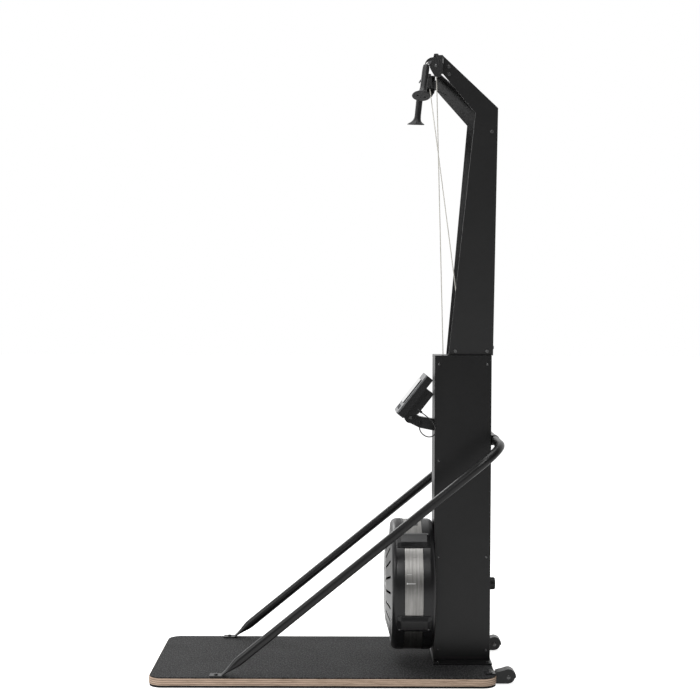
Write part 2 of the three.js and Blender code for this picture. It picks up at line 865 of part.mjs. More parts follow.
// Pulley heads, drawn for the right-hand side
const pulleyPlace = swivelPlace - pulleyCordRadius;
const yokeHalf = pulleyHalfWidth + yokeGap + yokeWall;
const yokeFloor = pulleyHeight - pulleyFlangeRadius - bridgeWall;
const yokeRoof = pulleyHeight + pulleyFlangeRadius + yokeGap / 2;
const lowerLugTop = yokeFloor - bridgeWall - clearance;
const upperLugBottom = yokeRoof + yokeWall + clearance;
const bracketTop = upperLugBottom + lugPlateWall;

function makeBracket() {
  const inner = headHalf + cheekOffset;
  const outer = inner + bracketWall;
  const fromHead = ([y, z]) => [swivelPlace + y, pulleyHeight + z];
  const cheek = plateX([
    [bracketRear, bracketTop],
    [swivelPlace, bracketTop],
    ...bracketNose.map(fromHead),
    [bracketRear, pulleyHeight - bracketHeelDrop],
  ], [inner, outer]);
  const backFront = bracketRear - bracketWall;
  const backHeight = [pulleyHeight - bracketPlateDrop, bracketTop];
  const back = block([headHalf - bracketInset, outer], [backFront, bracketRear], backHeight);
  const tongueOuter = -mastSheet - clearance;
  const tongueEnd = armTipFront + tongueReach;
  const [frontLow, frontHigh] = tongueFrontHeights.map((z) => upTheMast(pulleyHeight + z));
  const [rearLow, rearHigh] = tongueRearHeights.map((z) => upTheMast(pulleyHeight + z));
  const tongue = plateX(
    [[backFront, frontLow], [tongueEnd, rearLow], [tongueEnd, rearHigh], [backFront, frontHigh]],
    [tongueOuter - bracketWall, tongueOuter]);
  const lugInner = headHalf - lugPlateHalf;
  const lowerFront = swivelPlace - lugPlateHalf;
  const upperFront = swivelPlace - topLugReach;
  const lowerLugBottom = lowerLugTop - lugPlateWall;
  const lowerLug = block([lugInner, outer], [lowerFront, bracketRear], [lowerLugBottom, lowerLugTop]);
  const upperLug = block([lugInner, outer], [upperFront, bracketRear], [upperLugBottom, bracketTop]);
  const axis = [headHalf, swivelPlace];
  const through = lugPlateWall + cutOverrun;
  const lowerHole = rod('z', trunnionRadius + clearance, around(lowerLugTop, through), axis);
  const upperHole = rod('z', swivelPinRadius + clearance, around(bracketTop, through), axis);
  return joined(
    cheek,
    back,
    placed(tongue, mastMatrix),
    without(lowerLug, lowerHole),
    without(upperLug, upperHole));
}

function makeYoke() {
  const axis = [headHalf, swivelPlace];
  const back = swivelPlace + yokeBackReach;
  const guardCentre = [swivelPlace - guardInset, pulleyHeight - guardDrop];
  const guardOuter = arc(guardCentre, guardRadius + guardWall, guardFrom, guardTo, guardSteps);
  const side = [
    [back, yokeFloor - bridgeWall],
    [back, yokeRoof + yokeWall],
    ...guardOuter,
    ...yokeMouth.map(([y, z]) => [swivelPlace + y, pulleyHeight + z]),
    [swivelPlace - yokeBackReach, yokeFloor - bridgeWall],
  ];
  const window = plateX(yokeWindow.map(([y, z]) => [swivelPlace + y, pulleyHeight + z]),
    around(headHalf, 2 * yokeHalf));
  const cheeks = [-1, 1].map((s) => {
    const faces = [s * yokeHalf, s * (yokeHalf - yokeWall)].map((x) => headHalf + x);
    return without(plateX(side, [Math.min(...faces), Math.max(...faces)]), window);
  });
  const centre = [pulleyPlace, pulleyHeight];
  const guardOutline = [...arc(guardCentre, guardRadius, guardTo, guardFrom, guardSteps), ...guardOuter];
  const width = around(headHalf, yokeHalf);
  const bore = rod('z', trunnionBore, around(yokeFloor, lugPlateWall + cutOverrun), axis);
  const lowerDisc = rod('z', bridgeDiscRadius, [yokeFloor - bridgeWall, yokeFloor], axis);
  const trunnion = rod('z', trunnionRadius, [lowerLugTop - lugPlateWall - yokeGap, yokeFloor], axis);
  const nutBottom = bracketTop + clearance;
  return joined(
    ...cheeks,
    plateX(guardOutline, width),
    block(width, [guardCentre[0], back], [yokeRoof, yokeRoof + yokeWall]),
    without(joined(lowerDisc, trunnion), bore),
    rod('z', swivelPinRadius, [yokeRoof, nutBottom], axis),
    rod('z', swivelNutRadius, [nutBottom, nutBottom + swivelNutHeight], axis, hexSides),
    rod('x', pulleyPinRadius, width, centre, smallRoundSteps));
}

function makePulley() {
  const bore = pulleyPinRadius + runningClearance;
  const floor = pulleyCordRadius - cordRadius - clearance;
  return turned([
    [bore, -pulleyHalfWidth],
    [pulleyFlangeRadius, -pulleyHalfWidth],
    [pulleyFlangeRadius, -pulleyGrooveRimHalf],
    [floor, -pulleyGrooveFloorHalf],
    [floor, pulleyGrooveFloorHalf],
    [pulleyFlangeRadius, pulleyGrooveRimHalf],
    [pulleyFlangeRadius, pulleyHalfWidth],
    [bore, pulleyHalfWidth],
  ]);
}

// Cords
class Route extends THREE.Curve {
  constructor(points) {
    super();
    this.points = points.map(([x, y, z]) => new THREE.Vector3(x, y, z));
  }

  getPoint(t, target = new THREE.Vector3()) {
    const spans = this.points.length - 1;
    const at = Math.min(Math.max(t, 0), 1) * spans;
    const i = Math.min(Math.floor(at), spans - 1);
    return target.lerpVectors(this.points[i], this.points[i + 1], at - i);
  }

  getUtoTmapping(u) {
    return u;
  }
}

function cordAlong(points, radius, sides) {
  return tubeAlong(new Route(points), radius, sides, points.length - 1);
}

function mainCord(sign, place) {
  const bend = Math.atan((headHalf - drumCordRadius) / (pulleyHeight - rollerHeight));
  const reach = drumCordRadius + (rollerPlace - drumCordRadius) * (1 - Math.cos(bend));
  const middle = (axleHeight + rollerHeight) / 2;
  const bendTop = rollerHeight + (rollerPlace - drumCordRadius) * Math.sin(bend);
  return cordAlong([
    [sign * drumCordRadius, place, axleHeight],
    [sign * drumCordRadius, place, middle],
    [sign * drumCordRadius, place, rollerHeight],
    [sign * reach, place, bendTop],
    [sign * headHalf, swivelPlace, pulleyHeight - cordRadius],
  ], cordRadius, cordSides);
}

function handleAxis(side, hang) {
  const [outward, forward] = [hang.outward, hang.forward].map(THREE.MathUtils.degToRad);
  return new THREE.Vector3(side * Math.sin(outward), -Math.cos(outward) * Math.sin(forward),
    -Math.cos(outward) * Math.cos(forward));
}

function pullDirection(hang) {
  const angle = THREE.MathUtils.degToRad(hang.pull);
  return new THREE.Vector3(0, -Math.sin(angle), -Math.cos(angle));
}

function handleTop(side, hang) {
  const angle = Math.PI - THREE.MathUtils.degToRad(hang.pull);
  const exit = new THREE.Vector3(side * headHalf, pulleyPlace + pulleyCordRadius * Math.cos(angle),
    pulleyHeight + pulleyCordRadius * Math.sin(angle));
  return exit.addScaledVector(pullDirection(hang), hang.tail);
}

function tailCord(side, hang) {
  const steps = 8;
  const wrap = arc([pulleyPlace, pulleyHeight], pulleyCordRadius, 0, 2 * rightAngle - hang.pull, steps)
    .map(([y, z]) => [side * headHalf, y, z]);
  const slant = pullDirection(hang).angleTo(handleAxis(side, hang));
  const stop = -clearance - cordRadius * Math.tan(slant);
  const end = handleTop(side, hang).addScaledVector(pullDirection(hang), stop);
  return cordAlong([...wrap, end.toArray()], cordRadius, cordSides);
}

// Handle: two halves that meet at a slit, on the axis from its top to its foot, with the foot set forward
function makeHandle(side, hang) {
  const group = new THREE.Group();
  const down = handleAxis(side, hang);
  const across = new THREE.Vector3(0, 1, 0).projectOnPlane(down).normalize();
  const up = down.clone().negate();
  group.setRotationFromMatrix(new THREE.Matrix4().makeBasis(across, up, across.clone().cross(up)));
  group.rotateY(THREE.MathUtils.degToRad(hang.twist));
  group.position.copy(handleTop(side, hang));
  const neck = handleTopRadius / 3;
  const grown = (handleRadius + handleFootRadius) / 2;
  const flareSpan = handleLength - handleFlareStart;
  const straight = turned([
    [0, 0],
    [neck, 0],
    [handleTopRadius, -neck],
    [handleRadius, -handleTopRadius],
    [handleRadius, -handleFlareStart],
    [(handleRadius + grown) / 2, -handleFlareStart - flareSpan / 2],
    [grown + neck, handleFootEdge * 2 - handleLength],
    [handleFootRadius, handleFootEdge / 2 - handleLength],
    [handleFootRadius, -handleLength],
    [0, -handleLength],
  ]);
  const cant = Math.tan(THREE.MathUtils.degToRad(handleFootCant));
  const body = reshaped(straight, (point) => {
    const share = Math.max(0, (-point.y - handleFlareStart) / flareSpan);
    return point.add(new THREE.Vector3(-handleFootOffset * share, point.x * cant * share, 0));
  });
  const reach = [handleSlit / 2, 2 * handleFootRadius];
  const tall = [-2 * handleLength, handleLength];
  const deep = around(0, 2 * handleFootRadius);
  const sideName = side > 0 ? 'right' : 'left';
  const rearSide = block([-reach[1], reach[0]], tall, deep);
  const frontSide = block([-reach[0], reach[1]], tall, deep);
  group.add(piece(`handle_rear_half_${sideName}`, without(body, rearSide), blackPlastic));
  group.add(piece(`handle_front_half_${sideName}`, without(body, frontSide), blackPlastic));
  return group;
}

// Support tube with its clamps
const clampTop = baseTop + clampPlateThickness;

function makeSupportTube() {
  const foot = new THREE.Vector3(tubeFootHalf, tubeFootPlace, clampTop);
  const corner = new THREE.Vector3(tubeBackHalf, tubeBackPlace, tubeBackHeight);
  const along = corner.clone().sub(foot).normalize();
  const start = foot.clone().addScaledVector(along, -2 * tubeRadius);
  const bendStart = corner.clone().addScaledVector(along, -tubeBendReach);
  const bendEnd = corner.clone().add(new THREE.Vector3(-tubeBendReach, 0, 0));
  const bend = new THREE.QuadraticBezierCurve3(bendStart, corner, bendEnd);
  const flat = Array.from({ length: tubeFlatSteps + 1 }, (_, i) => (
    foot.clone().addScaledVector(along, (tubeFlatReach * i) / tubeFlatSteps)));
  const half = [start, ...flat, ...bend.getPoints(tubeBendSteps)].map((p) => p.toArray());
  const other = half.map(([x, y, z]) => [-x, y, z]).reverse();
  const across = new THREE.Vector3(1, 0, 0).projectOnPlane(along).normalize();
  const through = across.clone().cross(along);
  const whole = reshaped(cordAlong([...half, ...other], tubeRadius, tubeSides), (point) => {
    const side = Math.sign(point.x);
    const offset = new THREE.Vector3(Math.abs(point.x), point.y, point.z).sub(foot);
    const reach = offset.dot(along);
    const round = THREE.MathUtils.smoothstep(reach, 0, tubeFlatReach);
    const wide = offset.dot(across) * (1 + tubeFlatGrowth * (1 - round));
    const thin = offset.dot(through) * (tubeFlatThickness + (1 - tubeFlatThickness) * round);
    const moved = foot.clone().addScaledVector(along, reach)
      .addScaledVector(across, wide).addScaledVector(through, thin);
    return moved.setX(side * moved.x);
  });
  const under = block(around(0, baseWidth), around(0, baseLength), [-baseTop, clampTop + clearance]);
  return without(whole, under);
}

function makeSupportSaddle() {
  const height = tubeRadius + saddleStrap;
  const axis = [tubeBackPlace, tubeBackHeight];
  const width = around(0, saddleBlockWidth / 2);
  const seat = block(width, [columnRear + clearance, tubeBackPlace], around(tubeBackHeight, height));
  const whole = joined(seat, rod('x', height, width, axis, 2 * tubeSides));
  const hole = rod('x', tubeRadius + clearance, around(0, saddleBlockWidth), axis, tubeSides);
  return without(whole, hole);
}

function makeFootClamp() {
  const front = tubeFootPlace - clampPlateReach;
  const plate = block(
    around(tubeFootHalf, clampPlateWidth / 2), [front, front + clampPlateLength], [baseTop, clampTop]);
  return joined(plate, boltHead('z', clampTop, [tubeFootHalf, tubeFootPlace - clampBoltReach]));
}

// Transport wheels
function makeHousing() {
  const half = transportWidth / 2 + wheelRoom + housingWall;
  const inner = half - housingWall;
  const width = around(transportHalf, half);
  const rear = baseLength / 2 + clearance;
  const sides = plateX([[rear, housingBottom], [transportPlace, housingBottom],
    [transportPlace, housingHeight + housingRadius], [rear, baseTop + housingFrontRise]], width);
  const round = rod('x', housingRadius, width, [transportPlace, housingHeight], bigRoundSteps);
  const room = transportRadius + wheelRoom;
  const opening = around(transportHalf, inner);
  const well = rod('x', room, opening, [transportPlace, transportHeight], bigRoundSteps / 2);
  const mouth = block(opening, around(transportPlace, room), [-baseTop, transportHeight]);
  const tabTop = baseTop + housingTabThickness;
  const tab = block(width, [baseLength / 2 - housingTabLength, rear + housingWall], [baseTop, tabTop]);
  const bolts = [-1, 1].map((s) => boltHead('z', tabTop,
    [transportHalf + (s * half) / 2, baseLength / 2 - housingTabLength / 2]));
  const pinReach = around(transportHalf, half + housingWall / 2);
  const pin = rod('x', pinRadius, pinReach, [transportPlace, transportHeight], smallRoundSteps);
  const under = block(
    around(transportHalf, 2 * half), around(transportPlace, 2 * room), [-baseTop, housingBottom]);
  const heel = plateX([
    [transportPlace, housingBottom],
    [transportPlace + housingRadius, transportHeight],
    [transportPlace + 2 * housingRadius, transportHeight],
    [transportPlace, -baseTop],
  ], around(transportHalf, 2 * half));
  return joined(without(joined(sides, round, tab), well, mouth, under, heel), ...bolts, pin);
}

function makeTransportWheel() {
  const half = transportWidth / 2;
  const bore = pinRadius + runningClearance;
  const bevel = wheelRoom;
  return turned([
    [bore, -half],
    [transportRadius - bevel, -half],
    [transportRadius, bevel - half],
    [transportRadius, half - bevel],
    [transportRadius - bevel, half],
    [bore, half],
  ]);
}

// Console, drawn in its own frame: Y goes back through it and Z runs up its face
const consoleTilt = THREE.MathUtils.degToRad(consoleLean) - Math.PI / 2;
const consolePivot = new THREE.Vector3(0, pivotBehind, pivotAlong)
  .applyAxisAngle(new THREE.Vector3(1, 0, 0), consoleTilt)
  .add(new THREE.Vector3(0, consoleFrontPlace, consoleFrontHeight));

function facePlate(length, width, radius) {
  const shape = roundedRectangle(width, length, radius);
  return shape.getPoints().map((p) => [p.y + length / 2, p.x]);
}

function makeConsole() {
  const group = new THREE.Group();
  group.position.set(0, consoleFrontPlace, consoleFrontHeight);
  group.rotation.x = consoleTilt;
  const outlinePoints = facePlate(consoleLength, consoleWidth, consoleEdgeRadius);
  const boxBack = consoleDepth + rearBoxDepth;
  const shell = plateY(outlinePoints, [bezelDepth + clearance, consoleDepth]);
  const backSkin = consoleDepth - lap;
  const boxSide = [[backSkin, 0], [boxBack, rearBoxStart], [boxBack, rearBoxEnd], [backSkin, rearBoxEnd]];
  const box = plateX(boxSide, around(0, rearBoxWidth / 2));
  const pivot = [pivotBehind, pivotAlong];
  const slotHalf = armHalfWidth + 2 * clearance;
  const notch = rod('x', armHeadRadius + notchRoom, around(0, slotHalf), pivot);
  const ears = [-1, 1].flatMap((side) => {
    const faces = [side * slotHalf, side * (slotHalf + earWall)];
    const width = [Math.min(...faces), Math.max(...faces)];
    const root = plateX([[backSkin, pivotAlong - earRootHalf], [backSkin, pivotAlong + earRootHalf],
      [pivotBehind, pivotAlong + earRadius], [pivotBehind, pivotAlong - earRadius]], width);
    return [root, rod('x', earRadius, width, pivot)];
  });
  const pin = rod('x', pinRadius, around(0, slotHalf + earWall), pivot, smallRoundSteps);
  const glandReach = [boxBack - lap, boxBack + glandLength];
  const gland = rod('y', glandRadius, glandReach, [glandSide, glandAlong], smallRoundSteps);
  const body = joined(without(joined(shell, box), notch), ...ears, pin, gland);
  group.add(piece('console_body', body, blackPlastic));
  const buttonPlaces = Array.from(
    { length: buttonCount }, (_, i) => (i - (buttonCount - 1) / 2) * buttonPitch);
  const holes = buttonPlaces.map((x) => (
    rod('y', buttonRadius + clearance, [-cutOverrun, bezelDepth + cutOverrun], [x, buttonAlong])));
  group.add(piece('console_bezel', without(plateY(outlinePoints, [0, bezelDepth]), ...holes), greyPlastic));
  const screenDepth = [-screenProud - clearance, -clearance];
  const screen = block(around(0, screenWidth / 2), screenDepth, [screenStart, screenStart + screenLength]);
  group.add(piece('console_screen', screen, glass));
  buttonPlaces.forEach((x, i) => {
    const button = rod('y', buttonRadius, [-buttonProud, buttonSeat], [x, buttonAlong]);
    group.add(piece(`console_button_${i + 1}`, button, rubber));
  });
  return group;
}

function makeConsoleArm() {
  const { y, z } = consolePivot;
  const root = columnFront - clearance;
  const waist = columnFront - armWaistReach;
  const [rootBottom, rootTop] = armRootDrops.map((drop) => consoleFrontHeight - drop);
  const [waistBottom, waistTop] = armWaistDrops.map((drop) => consoleFrontHeight - drop);
  const width = around(0, armHalfWidth);
  const stem = plateX([
    [y, z + armHeadRadius],
    [y, z - armHeadRadius],
    [waist, waistBottom],
    [root, rootBottom],
    [root, rootTop],
    [waist, waistTop],
  ], width);
  const head = rod('x', armHeadRadius, width, [y, z]);
  const socketReach = [0, armHalfWidth + socketLength];
  const socketPlace = [columnFront - socketSetback, consoleFrontHeight - socketDrop];
  const socket = rod('x', glandRadius, socketReach, socketPlace, smallRoundSteps);
  const bore = rod('x', pinRadius + runningClearance, around(0, 2 * armHalfWidth), [y, z]);
  return without(joined(stem, head, socket), bore);
}

// Route of the console's cable, from its gland to the socket on the arm
const cableRoute = [
  [45, 349.7, 926.6], [45.5, 354.4, 922.9], [48, 362, 917.2], [53, 370, 911],
  [60.5, 378, 904], [70, 385, 896.5], [76.5, 391, 887.5], [80, 396, 877.5],
  [82, 398.3, 867.5], [82, 396, 857.5], [80.5, 391.5, 849.5], [75.5, 384, 844.2],
  [68, 375, 841.8], [60, 365.5, 842.8], [52, 356.5, 847], [45, 349, 853.5],
  [39.5, 344, 862], [36, 342, 871], [34.3, 343, 878.5], [33, 345, 884],
  [30.5, 346.6, 887.4], [27, 347, 888],
];

// Whole machine
function addPair(name, shape, material) {
  machine.add(piece(`${name}_right`, shape, material));
  machine.add(piece(`${name}_left`, mirrored(shape), material));
}

machine.add(makeBase());
machine.add(makeColumnFrame());
addPair('column_cover', makeCover(), blackCoat);
machine.add(makeFan());
machine.add(makeDrive());
machine.add(piece('mast_saddle', makeSaddle(), blackCoat));
addPair('mast_plate', placed(makeMastPlate(), mastMatrix), blackCoat);
const spacerHalf = mastHalfAt(spacerHeight - spacerRadius) - (mastSheet + clearance) / Math.cos(flareAngle);
const spacer = rod('x', spacerRadius, around(0, spacerHalf), [spacerPlace, spacerHeight]);
machine.add(piece('mast_spacer_bar', spacer, blackCoat));
addPair('pulley_bracket', makeBracket(), blackCoat);
addPair('swivel_yoke', makeYoke(), blackCoat);
const sides = [['right', 1, rightHang, drumPlaces[0]], ['left', -1, leftHang, drumPlaces[1]]];
for (const [sideName, side, hang, place] of sides) {
  const pulley = piece(`top_pulley_${sideName}`, makePulley(), greyPlastic);
  pulley.position.set(side * headHalf, pulleyPlace, pulleyHeight);
  pulley.rotation.z = -Math.PI / 2;
  machine.add(pulley);
  machine.add(piece(`handle_cord_${sideName}`, mainCord(side, place), whiteCord));
  machine.add(piece(`cord_tail_${sideName}`, tailCord(side, hang), whiteCord));
  machine.add(makeHandle(side, hang));
  const wheel = piece(`transport_wheel_${sideName}`, makeTransportWheel(), rubber);
  wheel.position.set(side * transportHalf, transportPlace, transportHeight);
  wheel.rotation.z = -Math.PI / 2;
  machine.add(wheel);
}
machine.add(piece('support_tube', makeSupportTube(), blackCoat));
machine.add(piece('support_tube_saddle', makeSupportSaddle(), blackCoat));
addPair('foot_clamp', makeFootClamp(), blackCoat);
addPair('wheel_housing', makeHousing(), blackPlastic);
machine.add(makeConsole());
machine.add(piece('console_arm', makeConsoleArm(), blackPlastic));
machine.add(piece('console_cable', cordAlong(cableRoute, cableRadius, cableSides), rubber));

const rearReach = transportPlace + housingRadius;
machine.position.y = -(rearReach - baseLength / 2) / 2;

export default machine;
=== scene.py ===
"""Looks of a standing ski trainer: finer pieces, finishes, light and camera around its fixed model."""

import math
from collections import namedtuple

import bmesh
import bpy
from mathutils import Matrix, Vector


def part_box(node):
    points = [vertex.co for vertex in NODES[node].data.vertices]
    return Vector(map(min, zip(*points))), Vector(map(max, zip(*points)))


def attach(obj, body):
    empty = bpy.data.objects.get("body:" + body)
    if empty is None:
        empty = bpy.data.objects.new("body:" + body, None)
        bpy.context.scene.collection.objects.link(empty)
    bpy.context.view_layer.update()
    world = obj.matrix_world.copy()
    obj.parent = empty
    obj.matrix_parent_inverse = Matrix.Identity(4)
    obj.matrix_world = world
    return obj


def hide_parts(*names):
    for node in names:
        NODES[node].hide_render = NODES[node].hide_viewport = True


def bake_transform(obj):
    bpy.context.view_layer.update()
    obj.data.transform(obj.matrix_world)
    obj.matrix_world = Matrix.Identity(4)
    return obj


bl_info = {
    "name": "Ski trainer machine",
    "version": (1, 0, 0),
    "blender": (4, 5, 0),
    "location": "View3D > Sidebar > Ski trainer",
    "description": "Builds the looks of a standing ski trainer around its fixed model",
    "category": "Object",
}

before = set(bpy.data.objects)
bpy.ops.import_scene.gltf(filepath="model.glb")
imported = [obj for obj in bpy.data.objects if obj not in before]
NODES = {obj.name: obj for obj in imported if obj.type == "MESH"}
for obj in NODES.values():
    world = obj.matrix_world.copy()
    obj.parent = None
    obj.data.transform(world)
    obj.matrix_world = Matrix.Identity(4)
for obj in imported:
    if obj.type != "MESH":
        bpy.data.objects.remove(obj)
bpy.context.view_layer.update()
MM = 0.001
BASE_SHIFT = -34.5
IDENTITY = Matrix.Identity(4)
EDGE_ANGLE, SMOOTH_MARGIN = 30.0, 8
SHARP_ANGLE = EDGE_ANGLE + SMOOTH_MARGIN
MERGE_WITHIN, SLIVER, NODE_MERGE_WITHIN = 0.000002, 0.000001, 0.00001
FLAT_WITHIN = math.radians(0.6)
FACE_WEIGHT = 60
SIDES = (("right", 1), ("left", -1))


# Settings
class TrainerSizes(bpy.types.PropertyGroup):
    """Sizes of edges, and how finely round pieces are divided"""

    edge: bpy.props.FloatProperty(
        name="Sheet edge", description="Rounding of sheet edges", default=0.0009, unit="LENGTH")
    moulded_edge: bpy.props.FloatProperty(
        name="Moulded edge", description="Rounding of moulded edges", default=0.0016, unit="LENGTH")
    round_steps: bpy.props.IntProperty(name="Round steps", description="Steps round large turned pieces", default=144)
    small_steps: bpy.props.IntProperty(name="Small steps", description="Steps round small turned pieces", default=48)


def colour(name, description, *default):
    """A colour setting"""
    return bpy.props.FloatVectorProperty(name=name, description=description, size=3, subtype="COLOR", default=default)


class TrainerColours(bpy.types.PropertyGroup):
    """Colours of the finishes"""

    coat: colour("Powder coat", "Coated steel", 0.006, 0.006, 0.0062)
    plastic: colour("Black plastic", "Moulded plastic", 0.008, 0.008, 0.0085)
    mat: colour("Mat", "Embossed mat", 0.021, 0.021, 0.0215)
    ply_light: colour("Light ply", "Light veneers of the board", 0.66, 0.49, 0.37)
    ply_dark: colour("Dark ply", "Dark veneers of the board", 0.21, 0.135, 0.09)
    steel: colour("Brushed steel", "Band round the fan", 0.27, 0.265, 0.255)
    cord: colour("Cord", "Braided cord", 0.62, 0.60, 0.55)


def sizes():
    return bpy.context.scene.trainer_sizes


def colours():
    return bpy.context.scene.trainer_colours


# Shader maths
class Value:
    """A number in a node tree; an expression on it adds Math nodes"""

    def __init__(self, nodes, socket):
        self.nodes = nodes
        self.socket = socket

    def _with(self, operation, *others):
        return self.nodes.maths(operation, self, *others)

    def __add__(self, other):
        return self._with("ADD", other)

    __radd__ = __add__

    def __mul__(self, other):
        return self._with("MULTIPLY", other)

    __rmul__ = __mul__

    def __sub__(self, other):
        return self._with("SUBTRACT", other)

    def __rsub__(self, other):
        return self.nodes.maths("SUBTRACT", other, self)

    def __truediv__(self, other):
        return self._with("DIVIDE", other)

    def __abs__(self):
        return self._with("ABSOLUTE")

    def __pow__(self, other):
        return self._with("POWER", other)

    def between(self, low, high):
        """0 below low and 1 above high, smooth between them"""
        made = self.nodes.node(
            "MapRange", {"interpolation_type": "SMOOTHSTEP"}, Value=self, From_Min=low, From_Max=high)
        return Value(self.nodes, made.outputs[0])


class Nodes:
    """A node tree and the ways to add its nodes"""

    def __init__(self, tree):
        self.tree = tree

    def feed(self, socket, value):
        source = value.socket if isinstance(value, Value) else value
        if isinstance(source, bpy.types.NodeSocket):
            self.tree.links.new(source, socket)
        else:
            socket.default_value = (*source, 1.0) if socket.type == "RGBA" and len(source) == 3 else source

    def add(self, kind, settings=None, **sockets):
        made = self.tree.nodes.new(kind)
        for key, value in (settings or {}).items():
            setattr(made, key, value)
        for key, value in sockets.items():
            self.feed(made.inputs[key.replace("_", " ")], value)
        return made

    def node(self, kind, settings=None, **sockets):
        return self.add("ShaderNode" + kind, settings, **sockets)

    def maths(self, operation, *values):
        made = self.node("Math", {"operation": operation})
        for socket, value in zip(made.inputs, values):
            self.feed(socket, value)
        return Value(self, made.outputs[0])


class Surface(Nodes):
    """One material and the ways to set it"""

    def __init__(self, name, roughness=0.5, metallic=0.0, specular=0.5):
        self.material = bpy.data.materials.new(name)
        self.material.use_nodes = True
        super().__init__(self.material.node_tree)
        self.shader = self.tree.nodes["Principled BSDF"]
        self.set(Roughness=roughness, Metallic=metallic)
        self.shader.inputs["Specular IOR Level"].default_value = specular

    def set(self, **sockets):
        for key, value in sockets.items():
            self.feed(self.shader.inputs[key.replace("_", " ")], value)
        return self

    def coordinates(self, kind="Object"):
        return self.node("TexCoord").outputs[kind]

    def axes(self, kind="Object"):
        split = self.node("SeparateXYZ", Vector=self.coordinates(kind))
        return [Value(self, socket) for socket in split.outputs]

    def vector(self, x=0.0, y=0.0, z=0.0):
        return self.node("CombineXYZ", X=x, Y=y, Z=z).outputs[0]

    def noise(self, scale, detail=3.0, at=None, roughness=0.55):
        made = self.node("TexNoise", Vector=at or self.coordinates(), Scale=scale, Detail=detail, Roughness=roughness)
        return Value(self, made.outputs[0])

    def blend(self, factor, low, high):
        made = self.node("Mix", {"data_type": "RGBA"})
        self.feed(made.inputs[0], factor)
        self.feed(made.inputs[6], low)
        self.feed(made.inputs[7], high)
        return made.outputs[2]

    def bump(self, height, distance, strength=1.0):
        made = self.node("Bump", Height=height, Distance=distance, Strength=strength)
        self.feed(self.shader.inputs["Normal"], made.outputs[0])
        return self


def even(value):
    return (value, value, value)


def darker(tone, share):
    return tuple(channel * share for channel in tone)


def coat_finish():
    """Satin powder coat with a fine orange peel"""
    s = Surface("satin_coat", specular=0.34)
    cloud = s.noise(7.0, 4.0)
    grain = s.noise(1500.0, 2.0)
    tone = colours().coat
    s.set(Base_Color=s.blend(cloud, darker(tone, 0.75), darker(tone, 1.35)),
          Roughness=0.25 + cloud * 0.08 + grain * 0.06)
    return s.bump(grain + s.noise(420.0, 1.0) * 0.5, 0.00012, 0.6).material


def plastic_finish():
    """Black moulded plastic with a spark-eroded grain"""
    s = Surface("moulded_plastic", specular=0.34)
    cloud = s.noise(14.0, 3.0)
    grain = s.noise(1100.0, 2.0)
    tone = colours().plastic
    s.set(Base_Color=s.blend(cloud, darker(tone, 0.8), darker(tone, 1.3)), Roughness=0.24 + grain * 0.12)
    return s.bump(grain, 0.00014, 0.5).material


def plain_finish(name, low, high, cloud, roughness, grain, specular=0.5, metallic=0.0):
    """Clouds between two tones, a base roughness with its change, and a grain with its depth and strength"""
    s = Surface(name, metallic=metallic, specular=specular)
    clouds = s.noise(cloud, 3.0)
    s.set(Base_Color=s.blend(clouds, low, high), Roughness=roughness[0] + clouds * roughness[1])
    return s.bump(s.noise(grain[0], 2.0), *grain[1:]).material


def metal_finish(name, low, high, roughness):
    """Turned or plated metal"""
    return plain_finish(name, low, high, 60.0, (roughness, 0.12), (1200.0, 0.00004, 0.4), metallic=1.0)


def mat_finish():
    """Embossed rubber mat: close round pebbles with fine grit between, their tops painted light as painted highlights
    and the hollows between them painted dark as painted shade
    """
    s = Surface("embossed_mat", specular=0.2)
    x, y, _ = s.axes()
    slanted = s.vector(x * 0.4 + y * 0.6, y - x * 0.25, 0.0)
    pebbles = s.noise(170.0, 2.0, at=slanted)
    wide = s.noise(9.0, 3.0)
    grit = s.noise(900.0, 2.0)
    tone = colours().mat
    # The pebbles' height drives the bump and also the colour: tops painted light as painted highlights, hollows
    # painted dark as painted shade
    pebble_relief_and_painted_light = pebbles.between(0.42, 0.64)
    s.set(Base_Color=s.blend(pebble_relief_and_painted_light * 0.8 + wide * 0.2, darker(tone, 0.1), darker(tone, 2.4)),
          Roughness=0.6 + wide * 0.2)
    return s.bump(pebble_relief_and_painted_light + grit * 0.1, 0.0016, 1.0).material


VENEER, VENEER_WAVE = 0.0034, 0.0016


def ply_finish():
    """Sealed plywood: veneers in layers at the edge, with end grain in every second one"""
    s = Surface("sealed_plywood", specular=0.4)
    x, y, z = s.axes()
    wave = s.noise(5.0, 2.0) * VENEER_WAVE
    layer = s.maths("FRACT", (z + wave) / (2 * VENEER))
    grain = s.noise(1.0, 5.0, at=s.vector(x * 14.0, y * 14.0, z * 620.0), roughness=0.7)
    dark = abs(layer - 0.5).between(0.20, 0.30)
    streak = s.noise(1.0, 4.0, at=s.vector(x * 22.0, y * 22.0, z * 1500.0))
    fleck = s.noise(1.0, 3.0, at=s.vector(x * 420.0, y * 420.0, z * 260.0))
    light_tone = s.blend(streak, darker(colours().ply_light, 0.72), darker(colours().ply_light, 1.15))
    dark_tone = s.blend(fleck, darker(colours().ply_dark, 0.65), darker(colours().ply_light, 0.78))
    glue = abs(layer - 0.25).between(0.0, 0.035)
    tone = s.blend(dark, light_tone, dark_tone)
    worn = s.blend(grain.between(0.50, 0.66), tone, darker(colours().ply_dark, 0.9))
    s.set(Base_Color=s.blend(glue, darker(colours().ply_dark, 0.5), worn), Roughness=0.5 + streak * 0.2)
    return s.bump(streak * 0.6 + fleck * 0.4, 0.0002, 0.5).material


FAN_AXIS = 0.303
# The damper's scale: where its lines start, and each one's angle above the side and reach
SCALE_START = 0.292
LONG_ANGLE, LONG_REACH = 0.1885, 0.029
SHORT_ANGLE, SHORT_REACH, SHORT_SHADE = 0.325, 0.016, 0.35


def scale_line(angle, along, at_angle, low, high, reach):
    """1 on a thin line along the band, and 0 beside it"""
    beside = abs(angle - at_angle).between(low, high)
    return (1.0 - beside) * along.between(-0.0005, 0.0005) * (1.0 - along.between(reach, reach + 0.001))


